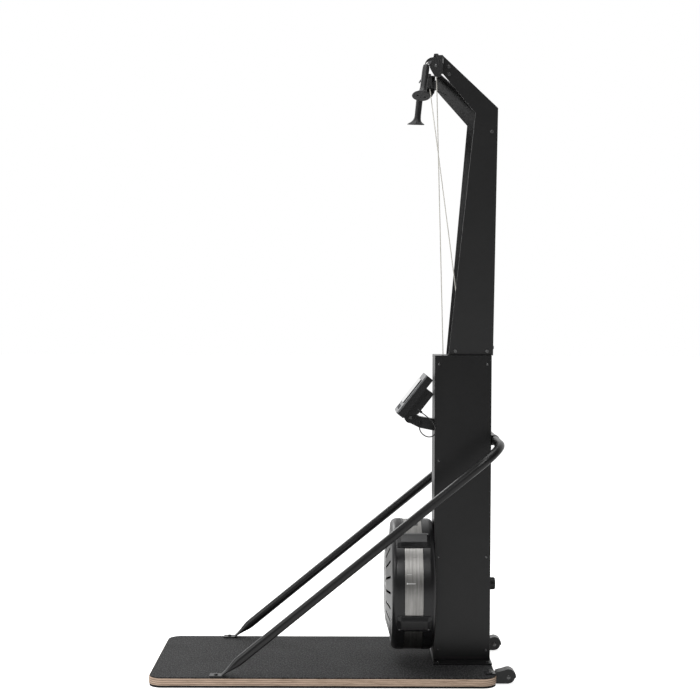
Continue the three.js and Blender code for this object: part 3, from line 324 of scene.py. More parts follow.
def band_finish():
    """Steel band brushed round the fan, with the damper's scale lines"""
    s = Surface("brushed_band", metallic=1.0, specular=0.5)
    x, y, z = s.axes()
    angle = s.maths("ARCTAN2", z - FAN_AXIS, abs(x))
    brush = s.noise(1.0, 4.0, at=s.vector(y * 2600.0, angle * 5.0, 0.0), roughness=0.7)
    wide = s.noise(1.0, 2.0, at=s.vector(y * 160.0, angle * 1.6, 0.0))
    shade = brush * 0.55 + wide * 0.45
    tone = s.blend(shade.between(0.25, 0.75), darker(colours().steel, 0.55), darker(colours().steel, 1.35))
    along = y - (SCALE_START + BASE_SHIFT * MM)
    on_right = x.between(0.0, 0.001)
    long_line = scale_line(angle, along, LONG_ANGLE, 0.0025, 0.0042, LONG_REACH)
    short_line = scale_line(angle, along, SHORT_ANGLE, 0.002, 0.0036, SHORT_REACH)
    end_line = (1.0 - abs(angle - LONG_ANGLE).between(0.014, 0.016)) * (1.0 - abs(along).between(0.0006, 0.0012))
    marks = s.maths("MINIMUM", (long_line + short_line * SHORT_SHADE + end_line) * on_right, 1.0)
    s.set(Base_Color=s.blend(marks, tone, (0.9, 0.9, 0.9)), Roughness=0.30 + brush * 0.16, Metallic=1.0 - marks)
    return s.bump(brush, 0.00006, 0.5).material


STRANDS_ALONG, STRANDS_ROUND = 900.0, 12.566


def cord_finish():
    """Braided cord: two sets of strands that cross, along the cord's own map"""
    s = Surface("braided_cord", roughness=0.75, specular=0.25)
    u, v, _ = s.axes("UV")
    first = s.maths("SINE", v * STRANDS_ALONG + u * STRANDS_ROUND)
    second = s.maths("SINE", v * STRANDS_ALONG - u * STRANDS_ROUND)
    weave = s.maths("MAXIMUM", first, second)
    fibre = s.noise(2200.0, 2.0)
    tone = weave * 0.35 + fibre * 0.65
    s.set(Base_Color=s.blend(tone, darker(colours().cord, 0.7), darker(colours().cord, 1.15)))
    return s.bump(weave, 0.0003, 0.7).material


def wheel_finish():
    """Tread of the transport wheels"""
    s = Surface("wheel_rubber", specular=0.35)
    x, _, _ = s.axes()
    cloud = s.noise(45.0, 3.0)
    s.set(Base_Color=s.blend(cloud, even(0.007), even(0.015)), Roughness=0.55 + cloud * 0.2)
    return s.bump(s.noise(650.0, 2.0) + s.maths("SINE", x * 2500.0) * 0.3, 0.00025, 0.6).material


def glass_finish():
    """Dark glass with a faint cloud under a clear coat"""
    s = Surface("screen_glass", specular=0.5)
    cloud = s.noise(25.0, 2.0)
    s.set(Base_Color=s.blend(cloud, (0.004, 0.0045, 0.005), (0.008, 0.009, 0.010)), Roughness=0.05 + cloud * 0.03)
    s.shader.inputs["Coat Weight"].default_value = 1.0
    s.shader.inputs["Coat Roughness"].default_value = 0.02
    return s.material


HOLE_PITCH, HOLES_RADIUS = 0.0045, 0.23


def perforated_finish():
    """Black sheet with round holes in staggered rows, round the fan; the holes are not cut but painted near black as
    painted shade seen through them
    """
    s = Surface("perforated_sheet", specular=0.3)
    x, y, z = s.axes()
    row = y / HOLE_PITCH
    along = s.maths("ARCTAN2", z - FAN_AXIS, x) * (HOLES_RADIUS / HOLE_PITCH)
    shifted = along + s.maths("FLOOR", row) * 0.5
    across = s.maths("FRACT", row) - 0.5
    beside = s.maths("FRACT", shifted) - 0.5
    distance = (across * across + beside * beside) ** 0.5
    solid = distance.between(0.28, 0.36)
    # The holes' near black is painted shade seen through them, not a colour of the sheet
    s.set(Base_Color=s.blend(solid, even(0.003), (0.045, 0.045, 0.046)), Roughness=0.8 - solid * 0.4)
    return s.bump(solid, 0.0008, 1.0).material


FINISHES = {}
MAKERS = {
    "coat": coat_finish,
    "plastic": plastic_finish,
    "handle": lambda: plain_finish(
        "handle_plastic", darker(colours().plastic, 0.9), darker(colours().plastic, 1.5), 40.0, (0.42, 0.10),
        (900.0, 0.00012, 0.5), specular=0.32),
    "grey": lambda: plain_finish(
        "grey_plastic", (0.10, 0.102, 0.105), (0.14, 0.143, 0.147), 30.0, (0.42, 0.12), (900.0, 0.0001, 0.4),
        specular=0.45),
    "mat": mat_finish,
    "underlay": lambda: plain_finish(
        "underlay_rubber", even(0.008), even(0.016), 60.0, (0.8, 0.1), (700.0, 0.0003, 0.6), specular=0.3),
    "ply": ply_finish,
    "band": band_finish,
    "grille": lambda: metal_finish("grille_metal", even(0.12), (0.24, 0.24, 0.235), 0.26),
    "steel": lambda: metal_finish("turned_steel", (0.42, 0.42, 0.41), (0.62, 0.62, 0.60), 0.24),
    "bolt": lambda: metal_finish("black_oxide", (0.07, 0.07, 0.071), even(0.14), 0.22),
    "cord": cord_finish,
    "cable": lambda: plain_finish(
        "cable_jacket", even(0.008), even(0.016), 50.0, (0.42, 0.12), (900.0, 0.0001, 0.4), specular=0.4),
    "wheel": wheel_finish,
    "glass": glass_finish,
    "button": lambda: plain_finish(
        "button_rubber", (0.05, 0.052, 0.055), (0.075, 0.077, 0.08), 120.0, (0.55, 0.15), (1500.0, 0.00008, 0.5),
        specular=0.3),
    "perforated": perforated_finish,
}


def finish(key):
    if key not in FINISHES:
        FINISHES[key] = MAKERS[key]()
    return FINISHES[key]


# Meshes
def at(x, y, z):
    """A point in metres from millimetres measured from the middle of the base"""
    return Vector((x, y + BASE_SHIFT, z)) * MM


def pointing(direction, place, twist=0.0):
    """A matrix that puts Z along a direction and the origin at a place"""
    turn = Vector(direction).to_track_quat("Z", "Y").to_matrix().to_4x4()
    return Matrix.Translation(place) @ turn @ Matrix.Rotation(twist, 4, "Z")


def arc(middle, radius, start, end, steps):
    """Points of an arc by angles in degrees"""
    turns = [math.radians(start + (end - start) * i / steps) for i in range(steps + 1)]
    return [(middle[0] + radius * math.cos(t), middle[1] + radius * math.sin(t)) for t in turns]


def closed_mesh(name, bm, edge=0.0, segments=2, angle=EDGE_ANGLE):
    """Merges, rounds the sharp edges and turns a bmesh into a mesh with smooth round faces"""
    bmesh.ops.remove_doubles(bm, verts=bm.verts, dist=MERGE_WITHIN)
    bmesh.ops.dissolve_degenerate(bm, edges=bm.edges, dist=SLIVER)
    bmesh.ops.recalc_face_normals(bm, faces=bm.faces)
    if edge:
        limit = math.radians(angle)
        sharp = [e for e in bm.edges if len(e.link_faces) == 2 and e.calc_face_angle(0.0) > limit]
        bmesh.ops.bevel(bm, geom=sharp, offset=edge, offset_type="OFFSET", segments=segments, profile=0.5,
                        affect="EDGES", clamp_overlap=True)
    return smooth(from_bmesh(name, bm), angle + SMOOTH_MARGIN)


def from_bmesh(name, bm):
    mesh = bpy.data.meshes.new(name)
    bm.to_mesh(mesh)
    bm.free()
    return mesh


def smooth(mesh, angle=SHARP_ANGLE):
    """Smooth faces, apart from edges sharper than an angle in degrees"""
    mesh.shade_smooth()
    mesh.set_sharp_from_angle(angle=math.radians(angle))
    return mesh


def loft(bm, rings):
    """Faces between rings of vertices, and one over each end"""
    for a, b in zip(rings, rings[1:]):
        for j in range(len(a)):
            k = (j + 1) % len(a)
            bm.faces.new((a[j], a[k], b[k], b[j]))
    bm.faces.new(rings[0][::-1])
    bm.faces.new(rings[-1])


def turned(name, profile, place, steps, edge=0.0, segments=2):
    """A closed profile of radius and height in millimetres, turned about Z and put at a matrix"""
    bm = bmesh.new()
    rings = []
    for i in range(steps):
        t = 2 * math.pi * i / steps
        points = [Vector((r * math.cos(t), r * math.sin(t), h)) * MM for r, h in profile]
        rings.append([bm.verts.new(place @ point) for point in points])
    count = len(profile)
    for i in range(steps):
        here, after = rings[i], rings[(i + 1) % steps]
        for j in range(count):
            k = (j + 1) % count
            if profile[j][0] == 0 and profile[k][0] == 0:
                continue
            bm.faces.new((here[j], after[j], after[k], here[k]))
    return closed_mesh(name, bm, edge, segments)


def prism(name, outline, place, low, high, edge=0.0, segments=2):
    """An outline in millimetres in the local XY plane, given thickness along local Z"""
    bm = bmesh.new()
    layers = [[bm.verts.new(place @ (Vector((u, v, w)) * MM)) for u, v in outline] for w in (low, high)]
    loft(bm, layers)
    return closed_mesh(name, bm, edge, segments)


def box_outline(u0, u1, v0, v1, radius=0.0, steps=8):
    """A rectangle with round corners"""
    if not radius:
        return [(u0, v0), (u1, v0), (u1, v1), (u0, v1)]
    corners = [((u1 - radius, v0 + radius), -90), ((u1 - radius, v1 - radius), 0), ((u0 + radius, v1 - radius), 90),
               ((u0 + radius, v0 + radius), 180)]
    return [p for middle, start in corners for p in arc(middle, radius, start, start + 90, steps)]


def swept(name, points, radii, sides):
    """A tube along points in metres; radii is one radius, or a function that gives each point's own section"""
    count = len(points)
    ways = [(points[min(i + 1, count - 1)] - points[max(i - 1, 0)]).normalized() for i in range(count)]
    side = ways[0].orthogonal().normalized()
    bm = bmesh.new()
    layer = bm.loops.layers.uv.new("UVMap")
    rings, length, lengths = [], 0.0, []
    for i, (point, way) in enumerate(zip(points, ways)):
        if i:
            side = (ways[i - 1].rotation_difference(way) @ side).normalized()
            length += (point - points[i - 1]).length
        lengths.append(length)
        other = way.cross(side)
        section = radii(i, side, other, way) if callable(radii) else (lambda c, s: (side * c + other * s) * radii)
        turns = [math.tau * k / sides for k in range(sides)]
        rings.append([bm.verts.new(point + section(math.cos(t), math.sin(t))) for t in turns])
    for i in range(count - 1):
        for k in range(sides):
            n = (k + 1) % sides
            face = bm.faces.new((rings[i][k], rings[i][n], rings[i + 1][n], rings[i + 1][k]))
            for loop, (u, v) in zip(face.loops, ((k, i), (k + 1, i), (k + 1, i + 1), (k, i + 1))):
                loop[layer].uv = (u / sides, lengths[v])
    bm.faces.new(rings[0][::-1])
    bm.faces.new(rings[-1])
    return closed_mesh(name, bm)


def smooth_route(points, between):
    """A Catmull-Rom line through points"""
    ends = [points[0] * 2 - points[1], *points, points[-1] * 2 - points[-2]]
    made = []
    for i in range(1, len(ends) - 2):
        a, b, c, d = ends[i - 1:i + 3]
        for k in range(between):
            t = k / between
            second, third = 2 * a - 5 * b + 4 * c - d, 3 * b - a - 3 * c + d
            made.append(0.5 * (2 * b + (c - a) * t + second * t ** 2 + third * t ** 3))
    return [*made, points[-1]]


def line(a, b, steps):
    return [a.lerp(b, i / steps) for i in range(steps + 1)]


def join_flat(bm):
    bmesh.ops.dissolve_limit(bm, angle_limit=FLAT_WITHIN, verts=bm.verts, edges=bm.edges)


def refined(node, edge, segments=2, keep=None):
    """A merged copy of a fixed node's mesh with rounded edges; keep says which vertices stay"""
    bm = bmesh.new()
    bm.from_mesh(NODES[node].data)
    bmesh.ops.remove_doubles(bm, verts=bm.verts, dist=NODE_MERGE_WITHIN)
    join_flat(bm)
    if keep:
        bmesh.ops.delete(bm, geom=[v for v in bm.verts if not keep(v.co)], context="VERTS")
        open_edges = [e for e in bm.edges if len(e.link_faces) == 1]
        bmesh.ops.holes_fill(bm, edges=open_edges, sides=24)
        join_flat(bm)
    return closed_mesh(node + "_finish", bm, edge, segments)


def temporary(mesh):
    obj = bpy.data.objects.new(mesh.name, mesh)
    bpy.context.scene.collection.objects.link(obj)
    return obj


def baked(obj):
    """The mesh of an object with its modifiers, which removes the object"""
    graph = bpy.context.evaluated_depsgraph_get()
    mesh = bpy.data.meshes.new_from_object(obj.evaluated_get(graph), depsgraph=graph)
    mesh.name = obj.name
    bpy.data.objects.remove(obj)
    return mesh


def cut(mesh, *tools):
    """A mesh with tools taken away"""
    obj = temporary(mesh)
    holders = [temporary(tool) for tool in tools]
    for holder in holders:
        modifier = obj.modifiers.new("cut", "BOOLEAN")
        modifier.operation = "DIFFERENCE"
        modifier.solver = "EXACT"
        modifier.object = holder
    made = baked(obj)
    for holder in holders:
        bpy.data.objects.remove(holder)
    return smooth(made)


def merged(name, meshes):
    """Several meshes as one, with their finishes kept"""
    bm = bmesh.new()
    for mesh in meshes:
        bm.from_mesh(mesh)
    return smooth(from_bmesh(name, bm))


def show(name, mesh, key, body="stand", *replaced):
    """Makes a finished piece of a mesh, on a body, in place of any nodes named"""
    holder = temporary(mesh)
    modifier = holder.modifiers.new("weighted", "WEIGHTED_NORMAL")
    modifier.weight = FACE_WEIGHT
    modifier.keep_sharp = True
    obj = temporary(baked(holder))
    obj.name = name
    obj.data.materials.clear()
    obj.data.materials.append(finish(key))
    if replaced:
        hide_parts(*replaced)
    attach(obj, body)


def dress(node, mesh, key, body="stand"):
    """Makes the finished piece that stands for a fixed node"""
    show(node + "_finish", mesh, key, body, node)


def bendable(node, mesh, key):
    """A piece that stands for a fixed node and isn't on one body"""
    obj = temporary(mesh)
    mesh.materials.append(finish(key))
    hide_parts(node)
    return obj


def keep_node(node, key):
    """A fixed node that stays, with its finish"""
    mesh = NODES[node].data
    mesh.materials.clear()
    mesh.materials.append(finish(key))


def soften(node, edge, key="coat", body="stand", **ways):
    """Makes a finished piece of a fixed node's own shape, with rounded edges"""
    dress(node, refined(node, edge, **ways), key, body)


# Repeats, by Geometry Nodes
COPIES = {}


def copies_tree():
    """The tree that sets copies on points, each turned by its own attribute, and its inputs' identifiers"""
    if COPIES:
        return COPIES["tree"], COPIES["keys"]
    tree = bpy.data.node_groups.new("copies_on_points", "GeometryNodeTree")
    keys = {}
    for label, kind in (("Geometry", "Geometry"), ("Piece", "Object"), ("Scale", "Float"), ("Finish", "Material")):
        keys[label] = tree.interface.new_socket(label, in_out="INPUT", socket_type="NodeSocket" + kind).identifier
    tree.interface.new_socket("Geometry", in_out="OUTPUT", socket_type="NodeSocketGeometry")
    nodes = Nodes(tree)
    entry = nodes.add("NodeGroupInput").outputs
    piece = nodes.add("GeometryNodeObjectInfo", {"transform_space": "ORIGINAL"}, Object=entry["Piece"])
    turn = nodes.add("GeometryNodeInputNamedAttribute", {"data_type": "FLOAT_VECTOR"}, Name="turn")
    spread = nodes.add("GeometryNodeInstanceOnPoints", Points=entry["Geometry"], Instance=piece.outputs["Geometry"],
                       Rotation=turn.outputs[0], Scale=entry["Scale"])
    real = nodes.add("GeometryNodeRealizeInstances", Geometry=spread.outputs[0])
    dressed = nodes.add("GeometryNodeSetMaterial", Geometry=real.outputs[0], Material=entry["Finish"])
    nodes.add("NodeGroupOutput", Geometry=dressed.outputs[0])
    COPIES.update(tree=tree, keys=keys)
    return tree, keys


def copies(name, piece, places, key, scale=1.0):
    """Copies of a piece at matrices, as one mesh"""
    base = bpy.data.meshes.new(name)
    base.from_pydata([tuple(m.translation) for m in places], [], [])
    turn = base.attributes.new("turn", "FLOAT_VECTOR", "POINT")
    for i, m in enumerate(places):
        turn.data[i].vector = tuple(m.to_euler())
    holder, source = temporary(base), temporary(piece)
    modifier = holder.modifiers.new("copies", "NODES")
    modifier.node_group, keys = copies_tree()
    for label, value in (("Piece", source), ("Scale", scale), ("Finish", finish(key))):
        modifier[keys[label]] = value
    made = baked(holder)
    bpy.data.objects.remove(source)
    return smooth(made)


def in_ring(name, piece, count, place, key):
    """Copies of a piece all round local Z, put at a matrix"""
    made = copies(name, piece, [Matrix.Rotation(math.tau * i / count, 4, "Z") for i in range(count)], key)
    made.transform(place)
    return made


def fasten(name, piece, places, body="stand", scale=1.0):
    """Screws of one kind at matrices, as one finished piece"""
    show(name, copies(name, piece, places, "bolt", scale), "bolt", body)


def cap_screw():
    """A socket cap screw, its head up from its seat"""
    radius, height = 6.3, 4.4
    head = turned("cap_screw", [(0, 0), (radius, 0), (radius, height - 0.9), (radius - 0.8, height), (0, height)],
                  IDENTITY, 32, 0.00025)
    socket = prism("socket", arc((0, 0), 3.1, 0, 300, 5), IDENTITY, height - 2.6, height + 1)
    return cut(head, socket)


def dome_screw():
    """A low domed screw with a hexagon socket"""
    profile = [(0, -0.2), (4.5, -0.2), (4.5, 0.35), (4.0, 1.0), (3.0, 1.6), (1.6, 1.92), (0, 2.0)]
    head = turned("dome_screw", profile, IDENTITY, 28)
    socket = prism("socket", arc((0, 0), 1.7, 0, 300, 5), IDENTITY, 0.8, 3)
    return cut(head, socket)


class PieceOperator(bpy.types.Operator):
    """Shared ways of the operators below"""

    bl_options = {"REGISTER", "UNDO"}

    def execute(self, context):
        self.make(sizes())
        return {"FINISHED"}


# Stage
CAMERA_PLACE = (4.9732, 0.0465, 1.3127)
CAMERA_YAW, CAMERA_PITCH, CAMERA_ROLL = 0.0021, 0.0329, 0.0034
CAMERA_LENS, SENSOR_WIDTH = 70.86, 36.0
LAMPS = (("overhead", (0.3, 0.0, 4.4), 2.6, 80.0, (0.0, 0.0, 1.0)),
         ("front", (4.6, -0.6, 4.3), 2.2, 100.0, (0.0, 0.1, 1.3)),
         ("side", (1.6, -4.0, 2.4), 2.2, 70.0, (0.0, 0.0, 1.0)),
         ("rim", (-3.0, -2.0, 3.0), 2.2, 60.0, (0.0, 0.2, 1.2)))
FLOOR_SEEN, FLOOR_MIRRORED = 0.85, 0.35
ROOM_MIRRORED, BACKDROP_MIRRORED = 0.12, 1.0
ROOM_SIDE, BACKDROP_SIDE = 0.15, -0.55
AMBIENT = 0.30
FLOOR_HALF, FLOOR_DROP = 30.0, 0.0005


class TRAINER_OT_stage(PieceOperator):
    """Adds the camera, the lamps, the floor and the world"""

    bl_idname = "trainer.stage"
    bl_label = "Stage"

    def make(self, size):
        scene = bpy.context.scene
        yaw, pitch = CAMERA_YAW, CAMERA_PITCH
        forward = Vector((-math.cos(yaw) * math.cos(pitch), math.sin(yaw) * math.cos(pitch), -math.sin(pitch)))
        level = forward.cross(Vector((0, 0, 1))).normalized()
        top = level.cross(forward)
        right = level * math.cos(CAMERA_ROLL) + top * math.sin(CAMERA_ROLL)
        up = top * math.cos(CAMERA_ROLL) - level * math.sin(CAMERA_ROLL)
        data = bpy.data.cameras.new("view")
        data.lens = CAMERA_LENS
        data.sensor_width = SENSOR_WIDTH
        camera = bpy.data.objects.new("view", data)
        camera.matrix_world = Matrix.Translation(CAMERA_PLACE) @ Matrix((right, up, -forward)).transposed().to_4x4()
        scene.collection.objects.link(camera)
        scene.camera = camera
        scene.view_settings.view_transform = "Standard"
        for name, place, width, power, target in LAMPS:
            lamp = bpy.data.lights.new(name, "AREA")
            lamp.size = width
            lamp.energy = power
            obj = bpy.data.objects.new(name, lamp)
            obj.matrix_world = pointing(Vector(place) - Vector(target), place)
            scene.collection.objects.link(obj)
        self.floor()
        self.world(scene)

    def floor(self):
        bm = bmesh.new()
        bmesh.ops.create_grid(bm, x_segments=2, y_segments=2, size=FLOOR_HALF)
        mesh = from_bmesh("floor", bm)
        floor = temporary(mesh)
        floor.location.z = -FLOOR_DROP
        s = Surface("studio_floor")
        tree = s.tree
        tree.nodes.remove(s.shader)
        path = s.node("LightPath").outputs
        seen = Value(s, path["Is Camera Ray"]) * FLOOR_SEEN + Value(s, path["Is Glossy Ray"]) * FLOOR_MIRRORED
        matt = s.node("BsdfDiffuse", Color=even(0.8))
        glow = s.node("Emission", Color=even(1.0), Strength=seen)
        both = s.node("AddShader")
        tree.links.new(matt.outputs[0], both.inputs[0])
        tree.links.new(glow.outputs[0], both.inputs[1])
        tree.links.new(both.outputs[0], tree.nodes["Material Output"].inputs[0])
        mesh.materials.append(s.material)

    def world(self, scene):
        world = bpy.data.worlds.new("studio")
        world.use_nodes = True
        scene.world = world
        nodes = Nodes(world.node_tree)
        ground = nodes.tree.nodes["Background"]
        path = nodes.node("LightPath").outputs
        way = nodes.node("SeparateXYZ", Vector=nodes.node("TexCoord").outputs["Generated"])
        backdrop = nodes.node("MapRange", Value=way.outputs[0], From_Min=ROOM_SIDE, From_Max=BACKDROP_SIDE,
                              To_Min=ROOM_MIRRORED, To_Max=BACKDROP_MIRRORED)
        mirrored = Value(nodes, backdrop.outputs[0]) * path["Is Glossy Ray"]
        seen = nodes.maths("MAXIMUM", path["Is Camera Ray"], path["Is Transmission Ray"])
        soft = Value(nodes, path["Is Diffuse Ray"]) * AMBIENT
        nodes.feed(ground.inputs["Strength"], nodes.maths("MAXIMUM", nodes.maths("MAXIMUM", seen, mirrored), soft))
        ground.inputs["Color"].default_value = (1.0, 1.0, 1.0, 1.0)


# Base
# Each layer's node, width, length, corner, foot, top, edge and finish
BASE_LAYERS = (("base_underlay", 596, 1196, 48, 0, 8, 0.8, "underlay"),
               ("base_board", 600, 1200, 50, 8, 32, 1.6, "ply"),
               ("base_mat", 594, 1194, 47, 32, 36, 1.0, "mat"))


class TRAINER_OT_base(PieceOperator):
    """Adds the underlay, the board and the mat"""

    bl_idname = "trainer.base"
    bl_label = "Base"

    def make(self, size):
        for node, width, length, radius, low, high, edge, key in BASE_LAYERS:
            outline = box_outline(-width / 2, width / 2, -length / 2, length / 2, radius, 16)
            dress(node, prism(node, outline, Matrix.Translation(at(0, 0, 0)), low, high, edge * MM, 3), key)


# Column
COVER_OUTLINE = (394, 596, 42.3, 1133)
COVER_INSIDE, COVER_OUTSIDE = 72, 75
COVER_SCREW_HEIGHTS = (77, 412, 757, 1102)
COVER_SCREW_PLACES = (409, 581)
FOOT_SCREW_SIDE, FOOT_SCREW_SEAT = 109, 42
FOOT_SCREW_PLACES = (407, 583)
CAP_SEAT = 596.3
AXLE = 303
INNER_NODES = (("speed_sensor", "plastic"), ("front_bearing", "steel"), ("rear_bearing", "steel"),
               ("recoil_spring_right", "steel"), ("recoil_spring_left", "steel"), ("cord_drum_right", "grey"),
               ("cord_drum_left", "grey"), ("guide_roller_right", "grey"), ("guide_roller_left", "grey"))


class TRAINER_OT_column(PieceOperator):
    """Adds the column's frame, covers and screws"""

    bl_idname = "trainer.column"
    bl_label = "Column"

    def make(self, size):
        soften("column_frame", size.edge * 0.6)
        for side, sign in SIDES:
            outline = box_outline(*COVER_OUTLINE, 1.5, 4)
            place = Matrix(((0, 0, sign, 0), (1, 0, 0, BASE_SHIFT * MM), (0, 1, 0, 0), (0, 0, 0, 1)))
            mesh = prism("cover", outline, place, COVER_INSIDE, COVER_OUTSIDE, size.edge, 3)
            dress("column_cover_" + side, mesh, "coat")
            places = [pointing((sign, 0, 0), at(sign * COVER_OUTSIDE, y, z))
                      for z in COVER_SCREW_HEIGHTS for y in COVER_SCREW_PLACES]
            fasten("cover_screws_" + side, dome_screw(), places)
        corners = [pointing((0, 0, 1), at(sign * FOOT_SCREW_SIDE, y, FOOT_SCREW_SEAT))
                   for _, sign in SIDES for y in FOOT_SCREW_PLACES]
        fasten("column_foot_screws", cap_screw(), corners, scale=1.07)
        dress("axle_cap", self.cap(size), "plastic")
        for node, key in INNER_NODES:
            keep_node(node, key)

    def cap(self, size):
        place = pointing((0, 1, 0), at(0, CAP_SEAT, AXLE))
        profile = [(16.5, 0), (22.5, 0), (22.5, 3.5), (21.4, 4.2), (21.4, 20.5), (20.4, 23), (18.6, 24), (9, 24),
                   (8, 22.6), (0, 22.6), (0, 18), (16.5, 18)]
        body = turned("cap", profile, place, size.small_steps * 2, 0.0003)
        rib = prism("rib", box_outline(20.9, 22.3, -0.9, 0.9), IDENTITY, 4.2, 20)
        ribs = in_ring("cap_ribs", rib, 30, place, "plastic")
        return merged("axle_cap_finish", [body, ribs])


# Fan
FAN_MIDDLE = 317
WINDOW_WIDTH, WINDOW_LENGTH, WINDOW_CORNER = 38, 42, 5
WINDOW_ANGLES = [math.radians(13 * i) for i in (-1, 0, 1)]
SLOT_COUNT, SLOT_HALF, SLOT_REACHES = 20, 4.5, ((46, 114.3), (125.7, 182.2))
BLADE_COUNT, BLADE_HALF = 16, 1.5
LUG_SEAT_RADIUS = 234.1
LUG_STATIONS = ((259, 236.3), (272, 245.3), (365, 245.3), (377, 236.3))
LUG_UNDERSIDE = (-32.5, -24, -16, -8, 0, 8, 16, 24, 32.5)
LUG_PLACES = (("upper_right", 51.0, 22), ("lower_right", -25.5, -22), ("upper_left", 129.0, -22),
              ("lower_left", 205.5, 22))
LUG_SCREW_PLACES, LUG_SCREW_RADIUS = (267, 368), 239.2


def window_tools(low, high):
    """Blocks for the air windows, round the top of the fan"""
    half = WINDOW_WIDTH / 2
    outline = box_outline(-WINDOW_LENGTH / 2, WINDOW_LENGTH / 2, FAN_MIDDLE - half, FAN_MIDDLE + half,
                          WINDOW_CORNER, 5)
    piece = prism("window", outline, IDENTITY, low, high)
    tools = []
    for angle in WINDOW_ANGLES:
        tool = piece.copy()
        tool.transform(Matrix.Translation(at(0, 0, AXLE)) @ Matrix.Rotation(angle, 4, "Y"))
        tools.append(tool)
    return tools


def curved_strip(name, low, high, front, rear, start, end, steps):
    """A strip between two radii round the fan's axle, from one angle to another"""
    bm = bmesh.new()
    corners = ((low, front), (low, rear), (high, rear), (high, front))
    turns = arc((0, 0), 1, start, end, steps)
    loft(bm, [[bm.verts.new(at(u * r, y, AXLE + w * r)) for r, y in corners] for u, w in turns])
    return closed_mesh(name, bm)


class TRAINER_OT_fan(PieceOperator):
    """Adds the fan's shells, grille, damper band, lugs and wheel"""

    bl_idname = "trainer.fan"
    bl_label = "Fan"

    def make(self, size):
        steps = size.round_steps
        place = pointing((0, 1, 0), at(0, 0, AXLE))
        rear = [(21.3, 393.7), (205, 393.7), (207, 392.9), (209, 393.7), *arc((213, 372.7), 21, 90, 0, 10),
                (234, 349.6), (229.5, 349.6), (229.5, 270.4), (226.5, 270.4), *arc((208.5, 372.7), 18, 0, 90, 6),
                (21.3, 390.7)]
        front = [(194, 240), (199, 240.4), (200.5, 241.6), (202.5, 241.6), (204, 240.4),
                 *arc((213, 261), 21, -90, 0, 10), (234, 283.4), (233.4, 284.4), (229.8, 284.4),
                 *arc((211.8, 261), 18, 0, -90, 6), (194, 243)]
        band = [(230.5, 285), (232.1, 285), (232.5, 285.4), (232.5, 348.6), (232.1, 349), (230.5, 349)]
        dress("fan_rear_shell", cut(turned("rear", rear, place, steps), *window_tools(220, 240)), "plastic")
        dress("fan_front_shell", turned("front", front, place, steps), "plastic")
        dress("damper_ring", cut(turned("band", band, place, steps * 2), *window_tools(225, 240)), "band", "damper")
        dress("fan_front_grille", self.grille(steps, place), "grille")
        show("outlet_screen", curved_strip("screen", 229.7, 230.2, 296, 338, 60, 120, 40), "perforated")
        show("shell_vent", curved_strip("vent", 234.05, 234.5, 261, 277, 61, 119, 40), "perforated")
        self.lugs()
        dress("fan_wheel", self.wheel(steps, place), "grey", "rotor")
        keep_node("fan_axle", "steel")

    def grille(self, steps, place):
        front = [(0, 220), (115, 220), (120, 220.18), (125, 220.73), (130, 221.65), (135, 222.9), (193.7, 240)]
        plate = turned("grille", front + [(r, h + 3) for r, h in reversed(front)], place, steps)
        tools = []
        for low, high in SLOT_REACHES:
            slot = box_outline(low, high, -SLOT_HALF, SLOT_HALF, SLOT_HALF - 0.1, 5)
            tools.append(in_ring("slots", prism("slot", slot, IDENTITY, 205, 255), SLOT_COUNT, place, "grille"))
        return cut(plate, *tools)

    def lugs(self):
        screws = []
        wide = LUG_UNDERSIDE[-1]
        for name, angle, offset in LUG_PLACES:
            turn = Matrix.Translation(at(0, 0, AXLE)) @ Matrix.Rotation(math.radians(-angle), 4, "Y")
            bm = bmesh.new()
            rings = []
            for y, top in LUG_STATIONS:
                under = [(math.sqrt(LUG_SEAT_RADIUS ** 2 - t * t), t) for t in LUG_UNDERSIDE]
                over = [(235.3, wide), (top, 18), (top, -18), (235.3, -wide)]
                rings.append([bm.verts.new(turn @ (Vector((r, y, t)) * MM)) for r, t in under + over])
            loft(bm, rings)
            seats = [turn @ pointing((1, 0, 0), Vector((LUG_SCREW_RADIUS, y, offset)) * MM) for y in LUG_SCREW_PLACES]
            wells = [turned("well", [(0, 0), (6.5, 0), (6.5, 12), (0, 12)], seat, 28) for seat in seats]
            screws += seats
            dress("shell_lug_" + name, cut(closed_mesh("lug", bm, 0.0016, 3, 14.0), *wells), "plastic")
        fasten("lug_screws", dome_screw(), screws)

    def wheel(self, steps, place):
        profile = [(10.4, 258), (30, 258), (34, 262), (34, 368), (208, 368), (208, 372), (10.4, 372)]
        hub = turned("hub", profile, place, steps, 0.0005)
        curve = [(17 + 187 * i / 8, 9 * math.sin(math.pi * i / 8)) for i in range(9)]
        outline = [(r, s - BLADE_HALF) for r, s in curve] + [(r, s + BLADE_HALF) for r, s in reversed(curve)]
        blades = in_ring("blades", prism("blade", outline, IDENTITY, 258.5, 371), BLADE_COUNT, place, "grey")
        return merged("fan_wheel_finish", [hub, blades])


# Mast and pulley heads
MAST_FOOT = 1133.3
HEAD = 207
SWIVEL = 384
PULLEY_PLACE, PULLEY_HEIGHT, PULLEY_RADIUS = 372, 2145, 12
PLATE_PLACE, PLATE_GAP = 60, 15.4
FLARE = math.atan((HEAD - PLATE_GAP - PLATE_PLACE) / (PULLEY_HEIGHT - MAST_FOOT))
MAST_BOLTS = ((467, 1148.3), (580, 1148.3), (429, 2134), (431, 2109), (582, 1916))
MAST_REAR_BOLT = (602, 1158, -25)
CHEEK_SCREW, PULLEY_SCREW_REACH = (26, 382, 2131), 9.5


def mast_point(sign, y, z, out=0.0):
    """A point on the outer face of a mast plate"""
    x = PLATE_PLACE + (z - MAST_FOOT) * math.tan(FLARE)
    return at(sign * (x + out * math.cos(FLARE)), y, z - out * math.sin(FLARE))


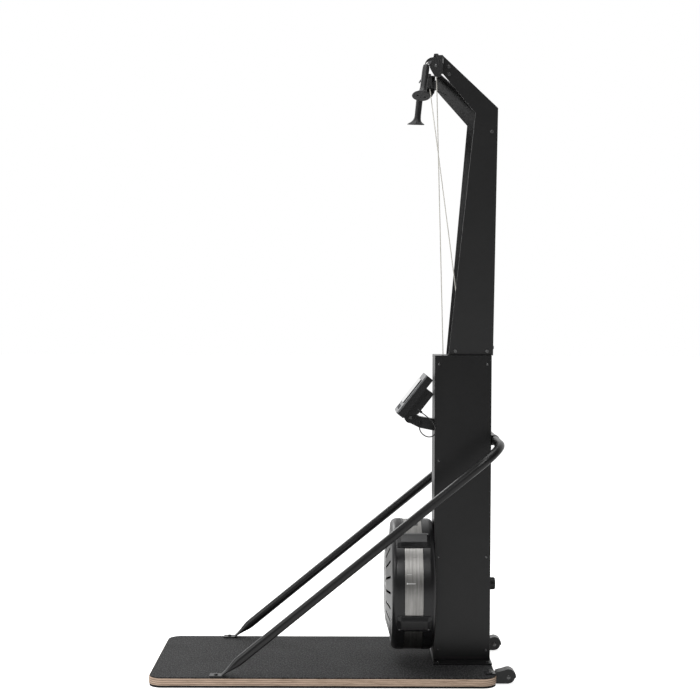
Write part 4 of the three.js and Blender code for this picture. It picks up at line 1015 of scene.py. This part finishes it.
class TRAINER_OT_mast(PieceOperator):
    """Adds the mast's saddle, plates, spacer and pulley heads"""

    bl_idname = "trainer.mast"
    bl_label = "Mast"

    def make(self, size):
        soften("mast_saddle", size.edge)
        bar = pointing((1, 0, 0), at(0, *MAST_BOLTS[-1]))
        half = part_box("mast_spacer_bar")[1].x / MM
        rod = turned("bar", [(0, -half), (10, -half), (10, half), (0, half)], bar, size.small_steps, 0.0004)
        dress("mast_spacer_bar", rod, "coat")
        for side, sign in SIDES:
            self.plate(size, side, sign)
            self.head(size, side, sign)

    def plate(self, size, side, sign):
        out = Vector((sign * math.cos(FLARE), 0, -math.sin(FLARE)))
        foot = at(sign * PLATE_PLACE, 0, MAST_FOOT)
        soften("mast_plate_" + side, size.edge, segments=3, keep=lambda p: (p - foot).dot(out) < 0.0006)
        places = [pointing(out, mast_point(sign, y, z)) for y, z in MAST_BOLTS]
        places.append(pointing((0, 1, 0), mast_point(sign, *MAST_REAR_BOLT)))
        fasten("mast_bolts_" + side, cap_screw(), places)

    def head(self, size, side, sign):
        soften("pulley_bracket_" + side, size.edge * 0.7)
        soften("swivel_yoke_" + side, size.edge * 0.5, body="head_" + side)
        out, y, z = CHEEK_SCREW
        cheek = pointing((sign, 0, 0), at(sign * (HEAD + out), y, z))
        ends = [pointing((sign * s, 0, 0), at(sign * (HEAD + s * PULLEY_SCREW_REACH), PULLEY_PLACE, PULLEY_HEIGHT))
                for s in (1, -1)]
        fasten("cheek_screw_" + side, dome_screw(), [cheek], scale=1.1)
        fasten("pulley_screws_" + side, dome_screw(), ends, "head_" + side)
        wheel = pointing((1, 0, 0), at(sign * HEAD, PULLEY_PLACE, PULLEY_HEIGHT))
        side_faces = [(3.15, 6.5), (5.4, 6.5), (6, 5.7), (11.4, 5.7), (12.2, 6.5), (15, 6.5), (15, 5.2), (9.95, 2.4)]
        profile = [*((r, -h) for r, h in side_faces), *arc((PULLEY_RADIUS, 0), 2.4, 205, 155, 4), *side_faces[::-1]]
        pulley = turned("pulley", profile, wheel, size.small_steps * 2, 0.0002)
        dress("top_pulley_" + side, pulley, "grey", "pulley_" + side)


# Cords and handles
CORD_RADIUS, CORD_GAP = 1.75, 0.3
CABLE_RADIUS = 2
DRUM_REACH = 33
ROLLER_HEIGHT, ROLLER_OFFSET = 1105, 16.05
DRUM_PLACES = {"right": 426, "left": 510}
Hang = namedtuple("Hang", "pull tail outward forward twist")
HANGS = {"right": Hang(38.5, 20.0, 24.0, 8.0, 19.0), "left": Hang(14.0, 35.0, 7.0, 5.5, 0.0)}
CABLE_ROUTE = ((45, 349.7, 926.6), (45.5, 354.4, 922.9), (48, 362, 917.2), (53, 370, 911), (60.5, 378, 904),
               (70, 385, 896.5), (76.5, 391, 887.5), (80, 396, 877.5), (82, 398.3, 867.5), (82, 396, 857.5),
               (80.5, 391.5, 849.5), (75.5, 384, 844.2), (68, 375, 841.8), (60, 365.5, 842.8), (52, 356.5, 847),
               (45, 349, 853.5), (39.5, 344, 862), (36, 342, 871), (34.3, 343, 878.5), (33, 345, 884),
               (30.5, 346.6, 887.4), (27, 347, 888))


def pull_way(hang):
    """The way the cord is pulled from its pulley"""
    lean = math.radians(hang.pull)
    return Vector((0, -math.sin(lean), -math.cos(lean)))


def handle_top(sign, hang):
    """Where the cord enters the handle"""
    turn = math.pi - math.radians(hang.pull)
    leaves = at(sign * HEAD, PULLEY_PLACE + PULLEY_RADIUS * math.cos(turn),
                PULLEY_HEIGHT + PULLEY_RADIUS * math.sin(turn))
    return leaves + pull_way(hang) * hang.tail * MM


def handle_way(sign, hang):
    """The way down along the handle"""
    out, lean = math.radians(hang.outward), math.radians(hang.forward)
    return Vector((sign * math.sin(out), -math.cos(out) * math.sin(lean), -math.cos(out) * math.cos(lean)))


class TRAINER_OT_cords(PieceOperator):
    """Adds the handle cords, their tails and the console's cable"""

    bl_idname = "trainer.cords"
    bl_label = "Cords"

    def make(self, size):
        for side, sign in SIDES:
            place = DRUM_PLACES[side]
            bend = math.degrees(math.atan((HEAD - DRUM_REACH) / (PULLEY_HEIGHT - ROLLER_HEIGHT)))
            turns = arc((DRUM_REACH + ROLLER_OFFSET, ROLLER_HEIGHT), -ROLLER_OFFSET, 0, -bend, 4)
            route = [at(sign * x, place, z) for x, z in turns]
            top = at(sign * HEAD, SWIVEL, PULLEY_HEIGHT - CORD_RADIUS)
            points = line(at(sign * DRUM_REACH, place, AXLE), route[0], 12) + route[1:] + line(route[-1], top, 24)[1:]
            dress("handle_cord_" + side, swept("cord", points, CORD_RADIUS * MM, 12), "cord")
            self.tail(side, sign)
        path = smooth_route([at(*p) for p in CABLE_ROUTE], 5)
        length = sum((b - a).length for a, b in zip(path, path[1:]))
        cable = bendable("console_cable", swept("console_cable_finish", path, CABLE_RADIUS * MM, 14), "cable")
        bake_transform(cable)

    def tail(self, side, sign):
        hang = HANGS[side]
        bend = arc((PULLEY_PLACE, PULLEY_HEIGHT), PULLEY_RADIUS, 0, 180 - hang.pull, 28)
        points = [at(sign * HEAD, y, z) for y, z in bend]
        way = pull_way(hang)
        slant = way.angle(handle_way(sign, hang))
        stop = handle_top(sign, hang) - way * (CORD_GAP + CORD_RADIUS * math.tan(slant)) * MM
        start = points[-1]
        points += line(start, stop, 12)[1:]
        node = "cord_tail_" + side
        tail = bendable(node, swept(node + "_finish", points, CORD_RADIUS * MM, 12), "cord")
        "head_" + side
        "handle_" + side
        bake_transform(tail)


HANDLE_PROFILE = ((0, 0), (3.4, 0), (7.6, -0.8), (10, -3), (11, -6.5), (11.6, -12), (12, -20), (11.9, -60),
                  (11.7, -90), (12, -98), (13, -104.5), (15, -110.5), (18.4, -115.5), (22.9, -119.5),
                  (27.6, -122.2), (30.8, -124.2), (31.5, -125.6), (31.3, -127.2), (30.4, -128), (0, -128))
HANDLE_LENGTH, BELL_START = 128, 102
HALF_STEPS, HALF_GAP = 32, 0.3  # steps round each half, and from the middle to its flat side
FOOT_OFFSET, FOOT_CANT = 4, math.radians(4)
FOOT_SCREW, FOOT_SCREW_SUNK = 13, 3.9


class TRAINER_OT_handles(PieceOperator):
    """Adds the two halves of each handle and their screws"""

    bl_idname = "trainer.handles"
    bl_label = "Handles"

    def make(self, size):
        for side, sign in SIDES:
            hang = HANGS[side]
            down = handle_way(sign, hang)
            across = (Vector((0, 1, 0)) - down * down.y).normalized()
            place = Matrix.Translation(handle_top(sign, hang)) @ Matrix(
                (across, -down.cross(across), -down)).transposed().to_4x4() @ Matrix.Rotation(
                math.radians(hang.twist), 4, "Z")
            for part, start, turn in (("rear", -90, 1), ("front", 90, -1)):
                dress("handle_%s_half_%s" % (part, side), self.half(place, start, turn), "handle", "handle_" + side)
            sunk = Matrix.Translation((0, 0, FOOT_SCREW_SUNK * MM)) @ Matrix.Rotation(math.pi, 4, "X")
            seats = [self.foot_place(place, x) @ sunk for x in (-FOOT_SCREW, FOOT_SCREW)]
            fasten("handle_screws_" + side, dome_screw(), seats, "handle_" + side, 0.7)

    def half(self, place, start, turn):
        bm = bmesh.new()
        rings = []
        for x, y in arc((0, 0), 1, start, start + 180, HALF_STEPS):
            ring = []
            for r, h in HANDLE_PROFILE:
                share = max(0.0, (-h - BELL_START) / (HANDLE_LENGTH - BELL_START))
                along = r * x + HALF_GAP * turn
                point = Vector((along - FOOT_OFFSET * share, r * y, h + along * math.tan(FOOT_CANT) * share))
                ring.append(bm.verts.new(place @ (point * MM)))
            rings.append(ring)
        for a, b in zip(rings, rings[1:]):
            for j in range(len(HANDLE_PROFILE) - 1):
                bm.faces.new((a[j], b[j], b[j + 1], a[j + 1]))
        bm.faces.new(rings[0])
        bm.faces.new(rings[-1][::-1])
        well = self.foot_place(place, FOOT_SCREW * turn)
        return cut(closed_mesh("half", bm, 0.0009), turned("well", [(0, -1), (3.4, -1), (3.4, 4), (0, 4)], well, 24))

    def foot_place(self, place, x):
        """A seat on the foot, upwards into the handle"""
        seat = Vector((x - FOOT_OFFSET, 0, math.tan(FOOT_CANT) * x - HANDLE_LENGTH))
        return place @ Matrix.Translation(seat * MM)


# Brace tube
TUBE_RADIUS = 16
TUBE_FOOT, TUBE_CORNER = (278, -345, 41), (283, 614.6, 826)
TUBE_BEND = 110
TUBE_FLAT, FLAT_SHARES = 70, (0, 0.12, 0.28, 0.45, 0.62, 0.8, 0.95, 1.1)
FLAT_GROWTH, FLAT_THICKNESS = 0.26, 0.24
TUBE_SEAT = 41.5
CLAMP_TOP = 41.6
FOOT_BOLT = (278, -366, 41)


class TRAINER_OT_brace(PieceOperator):
    """Adds the support tube, its saddle and its foot clamps"""

    bl_idname = "trainer.brace"
    bl_label = "Brace tube"

    def make(self, size):
        foot, corner = at(*TUBE_FOOT), at(*TUBE_CORNER)
        along = (corner - foot).normalized()
        reach, flat = TUBE_BEND * MM, TUBE_FLAT * MM
        start = foot + along * MM
        bend_start, bend_end = corner - along * reach, corner - Vector((reach, 0, 0))
        shares = [i / 20 for i in range(21)]
        bend = [bend_start * (1 - t) ** 2 + corner * 2 * t * (1 - t) + bend_end * t * t for t in shares]
        down = [start + along * flat * t for t in FLAT_SHARES]
        half = down + line(down[-1], bend_start, 10)[1:] + bend[1:]
        points = half + [Vector((-p.x, p.y, p.z)) for p in reversed(half)]

        def section(i, side, other, way):
            """The tube's section at a point, flat near the foot"""
            x, y, z = points[i]
            t = min((Vector((abs(x), y, z)) - start).length / (flat * FLAT_SHARES[-1]), 1.0)
            ease = t * t * (3 - 2 * t)
            radius = TUBE_RADIUS * MM
            if ease == 1.0:
                return lambda c, s: (side * c + other * s) * radius
            wide = (1 + FLAT_GROWTH * (1 - ease)) * radius
            thin = (FLAT_THICKNESS + (1 - FLAT_THICKNESS) * ease) * radius
            cross = (Vector((1, 0, 0)) - way * way.x).normalized()
            through = way.cross(cross)

            def point(c, s):
                spoke = side * c + other * s
                return cross * spoke.dot(cross) * wide + through * spoke.dot(through) * thin

            return point

        mesh = swept("support_tube_finish", points, section, 40)
        for vertex in mesh.vertices:
            vertex.co.z = max(vertex.co.z, TUBE_SEAT * MM)
        dress("support_tube", mesh, "coat")
        soften("support_tube_saddle", size.edge * 1.5)
        for side, sign in SIDES:
            soften("foot_clamp_" + side, size.edge, keep=lambda p: p.z < CLAMP_TOP * MM)
            x, y, z = FOOT_BOLT
            fasten("foot_bolt_" + side, cap_screw(), [pointing((0, 0, 1), at(sign * x, y, z))])


WHEEL_PLACE = (231, 643, 27)
HOUSING_KEEP_HEIGHT, HOUSING_KEEP_REAR = 40.2, 599
TAB_SCREWS, TAB_SCREW_PLACE, TAB_SEAT = (220.25, 241.75), 582, 40
HUB_REACH = 21.5


class TRAINER_OT_wheels(PieceOperator):
    """Adds the transport wheels and their housings"""

    bl_idname = "trainer.wheels"
    bl_label = "Transport wheels"

    def make(self, size):
        for side, sign in SIDES:
            low, rear = HOUSING_KEEP_HEIGHT * MM, at(0, HOUSING_KEEP_REAR, 0).y
            soften("wheel_housing_" + side, size.edge, "plastic", segments=3, keep=lambda p: p.z < low or p.y > rear)
            screws = [pointing((0, 0, 1), at(sign * x, TAB_SCREW_PLACE, TAB_SEAT)) for x in TAB_SCREWS]
            fasten("tab_screws_" + side, cap_screw(), screws)
            hub = turned("hub", [(0, -0.2), (7, -0.2), (7, 0.9), (5.6, 1.9), (2.6, 2.3), (0, 2.35)], IDENTITY, 32)
            x, y, z = WHEEL_PLACE
            ends = [pointing((s, 0, 0), at(sign * x + s * HUB_REACH, y, z)) for s in (1, -1)]
            fasten("hub_caps_" + side, hub, ends)
            inner = [(4.15, 17), (7.5, 17), (8.1, 15.4), (15, 15.4), (16, 17), (21.5, 17), (23, 14.8)]
            profile = [*((r, -h) for r, h in inner), *inner[::-1]]
            place = pointing((1, 0, 0), at(sign * x, y, z))
            wheel = turned("wheel", profile, place, size.small_steps * 2, 0.0003)
            dress("transport_wheel_" + side, wheel, "wheel", "wheel_" + side)


# Console
CONSOLE_TILT = math.radians(52 - 90)
CONSOLE_PLACE = (0, 256.7, 928.3)
CONSOLE_SIDE = 60
RIM_HALF, RIM_HEIGHT, RIM_DEPTH = 95, 172, 6
SCREEN_HALF, SCREEN_FOOT, SCREEN_TOP = 70, 43, 147
BUTTONS, BUTTON_HEIGHT = (-42, 0, 42), 22


class TRAINER_OT_console(PieceOperator):
    """Adds the console, its arm and its buttons"""

    bl_idname = "trainer.console"
    bl_label = "Console"

    def make(self, size):
        face = Matrix.Translation(at(*CONSOLE_PLACE)) @ Matrix.Rotation(CONSOLE_TILT, 4, "X")
        flat = face @ Matrix(((1, 0, 0, 0), (0, 0, 1, 0), (0, 1, 0, 0), (0, 0, 0, 1)))

        def blocks(low, high, foot, top, inside, outside, edge=0.0):
            """A block at each side of the console, round the side's own line"""
            outlines = [box_outline(x - low, x + high, foot, top) for x in (CONSOLE_SIDE, -CONSOLE_SIDE)]
            return [prism("block", outline, flat, inside, outside, edge) for outline in outlines]

        body = cut(refined("console_body", size.moulded_edge * 0.6, 3), *blocks(0.5, 0.5, 34, 93, 36.6, 37.5))
        dress("console_body", body, "plastic", "console")
        ribs = [rib for v in (103.5, 107, 110.5) for rib in blocks(0.8, 0.8, v - 0.7, v + 0.7, 34, 49, 0.0002)]
        show("console_ribs", merged("ribs", ribs), "plastic", "console")
        show("console_bars", merged("bars", blocks(0.6, 0.7, 55.8, 57.4, 52, 65.5, 0.0002)), "grey", "console")
        pivots = [pointing((sign, 0, 0), flat @ (Vector((sign * 27.6, 16.8, 54.5)) * MM)) for _, sign in SIDES]
        fasten("console_pivots", cap_screw(), pivots, "console")
        soften("console_arm", size.moulded_edge, "plastic", segments=3)
        rim_outline = box_outline(-RIM_HALF, RIM_HALF, 0, RIM_HEIGHT, 4, 6)
        rim = prism("rim", rim_outline, flat, 0, RIM_DEPTH, size.moulded_edge * 0.5, 3)
        tools = [prism("hole", arc((x, BUTTON_HEIGHT), 8.3, 0, 345, 23), flat, -5, 11) for x in BUTTONS]
        wide = SCREEN_HALF + 1
        tools.append(prism("tray", box_outline(-wide, wide, SCREEN_FOOT - 1, SCREEN_TOP + 1, 5, 6), flat, -1, 0.6))
        dress("console_bezel", cut(rim, *tools), "grey", "console")
        outline = box_outline(-SCREEN_HALF, SCREEN_HALF, SCREEN_FOOT, SCREEN_TOP, 5, 6)
        dress("console_screen", prism("glass", outline, flat, -4.3, -0.3, 0.0008, 3), "glass", "console")
        profile = [(0, -4.2), (8, -4.2), (8, 1.6), (7.2, 2.2), (5.5, 2.5), (4.5, 2.1), (0, 1.9)]
        upright = face.to_3x3().to_4x4() @ Matrix.Rotation(math.radians(90), 4, "X")
        for i, x in enumerate(BUTTONS, 1):
            turn = Matrix.Translation(flat @ (Vector((x, BUTTON_HEIGHT, 0)) * MM)) @ upright
            button = turned("button", profile, turn, size.small_steps, 0.0002)
            dress("console_button_%d" % i, button, "button", "button_%d" % i)


class TRAINER_PT_pieces(bpy.types.Panel):
    """Lists the operators and the settings"""

    bl_label = "Ski trainer"
    bl_idname = "TRAINER_PT_pieces"
    bl_space_type = "VIEW_3D"
    bl_region_type = "UI"
    bl_category = "Ski trainer"

    def draw(self, context):
        for group in (context.scene.trainer_sizes, context.scene.trainer_colours):
            for key in group.__annotations__:
                self.layout.prop(group, key)
        for operator in OPERATORS:
            self.layout.operator(operator.bl_idname)


OPERATORS = (TRAINER_OT_stage, TRAINER_OT_cords, TRAINER_OT_base, TRAINER_OT_column, TRAINER_OT_fan, TRAINER_OT_mast,
             TRAINER_OT_handles, TRAINER_OT_brace, TRAINER_OT_wheels, TRAINER_OT_console)
CLASSES = (TrainerSizes, TrainerColours, *OPERATORS, TRAINER_PT_pieces)


def register():
    for item in CLASSES:
        bpy.utils.register_class(item)
    bpy.types.Scene.trainer_sizes = bpy.props.PointerProperty(type=TrainerSizes)
    bpy.types.Scene.trainer_colours = bpy.props.PointerProperty(type=TrainerColours)


def unregister():
    del bpy.types.Scene.trainer_colours
    del bpy.types.Scene.trainer_sizes
    for item in reversed(CLASSES):
        bpy.utils.unregister_class(item)


def main():
    register()
    for operator in OPERATORS:
        group, name = operator.bl_idname.split(".")
        getattr(getattr(bpy.ops, group), name)()


if __name__ == "__main__":
    main()
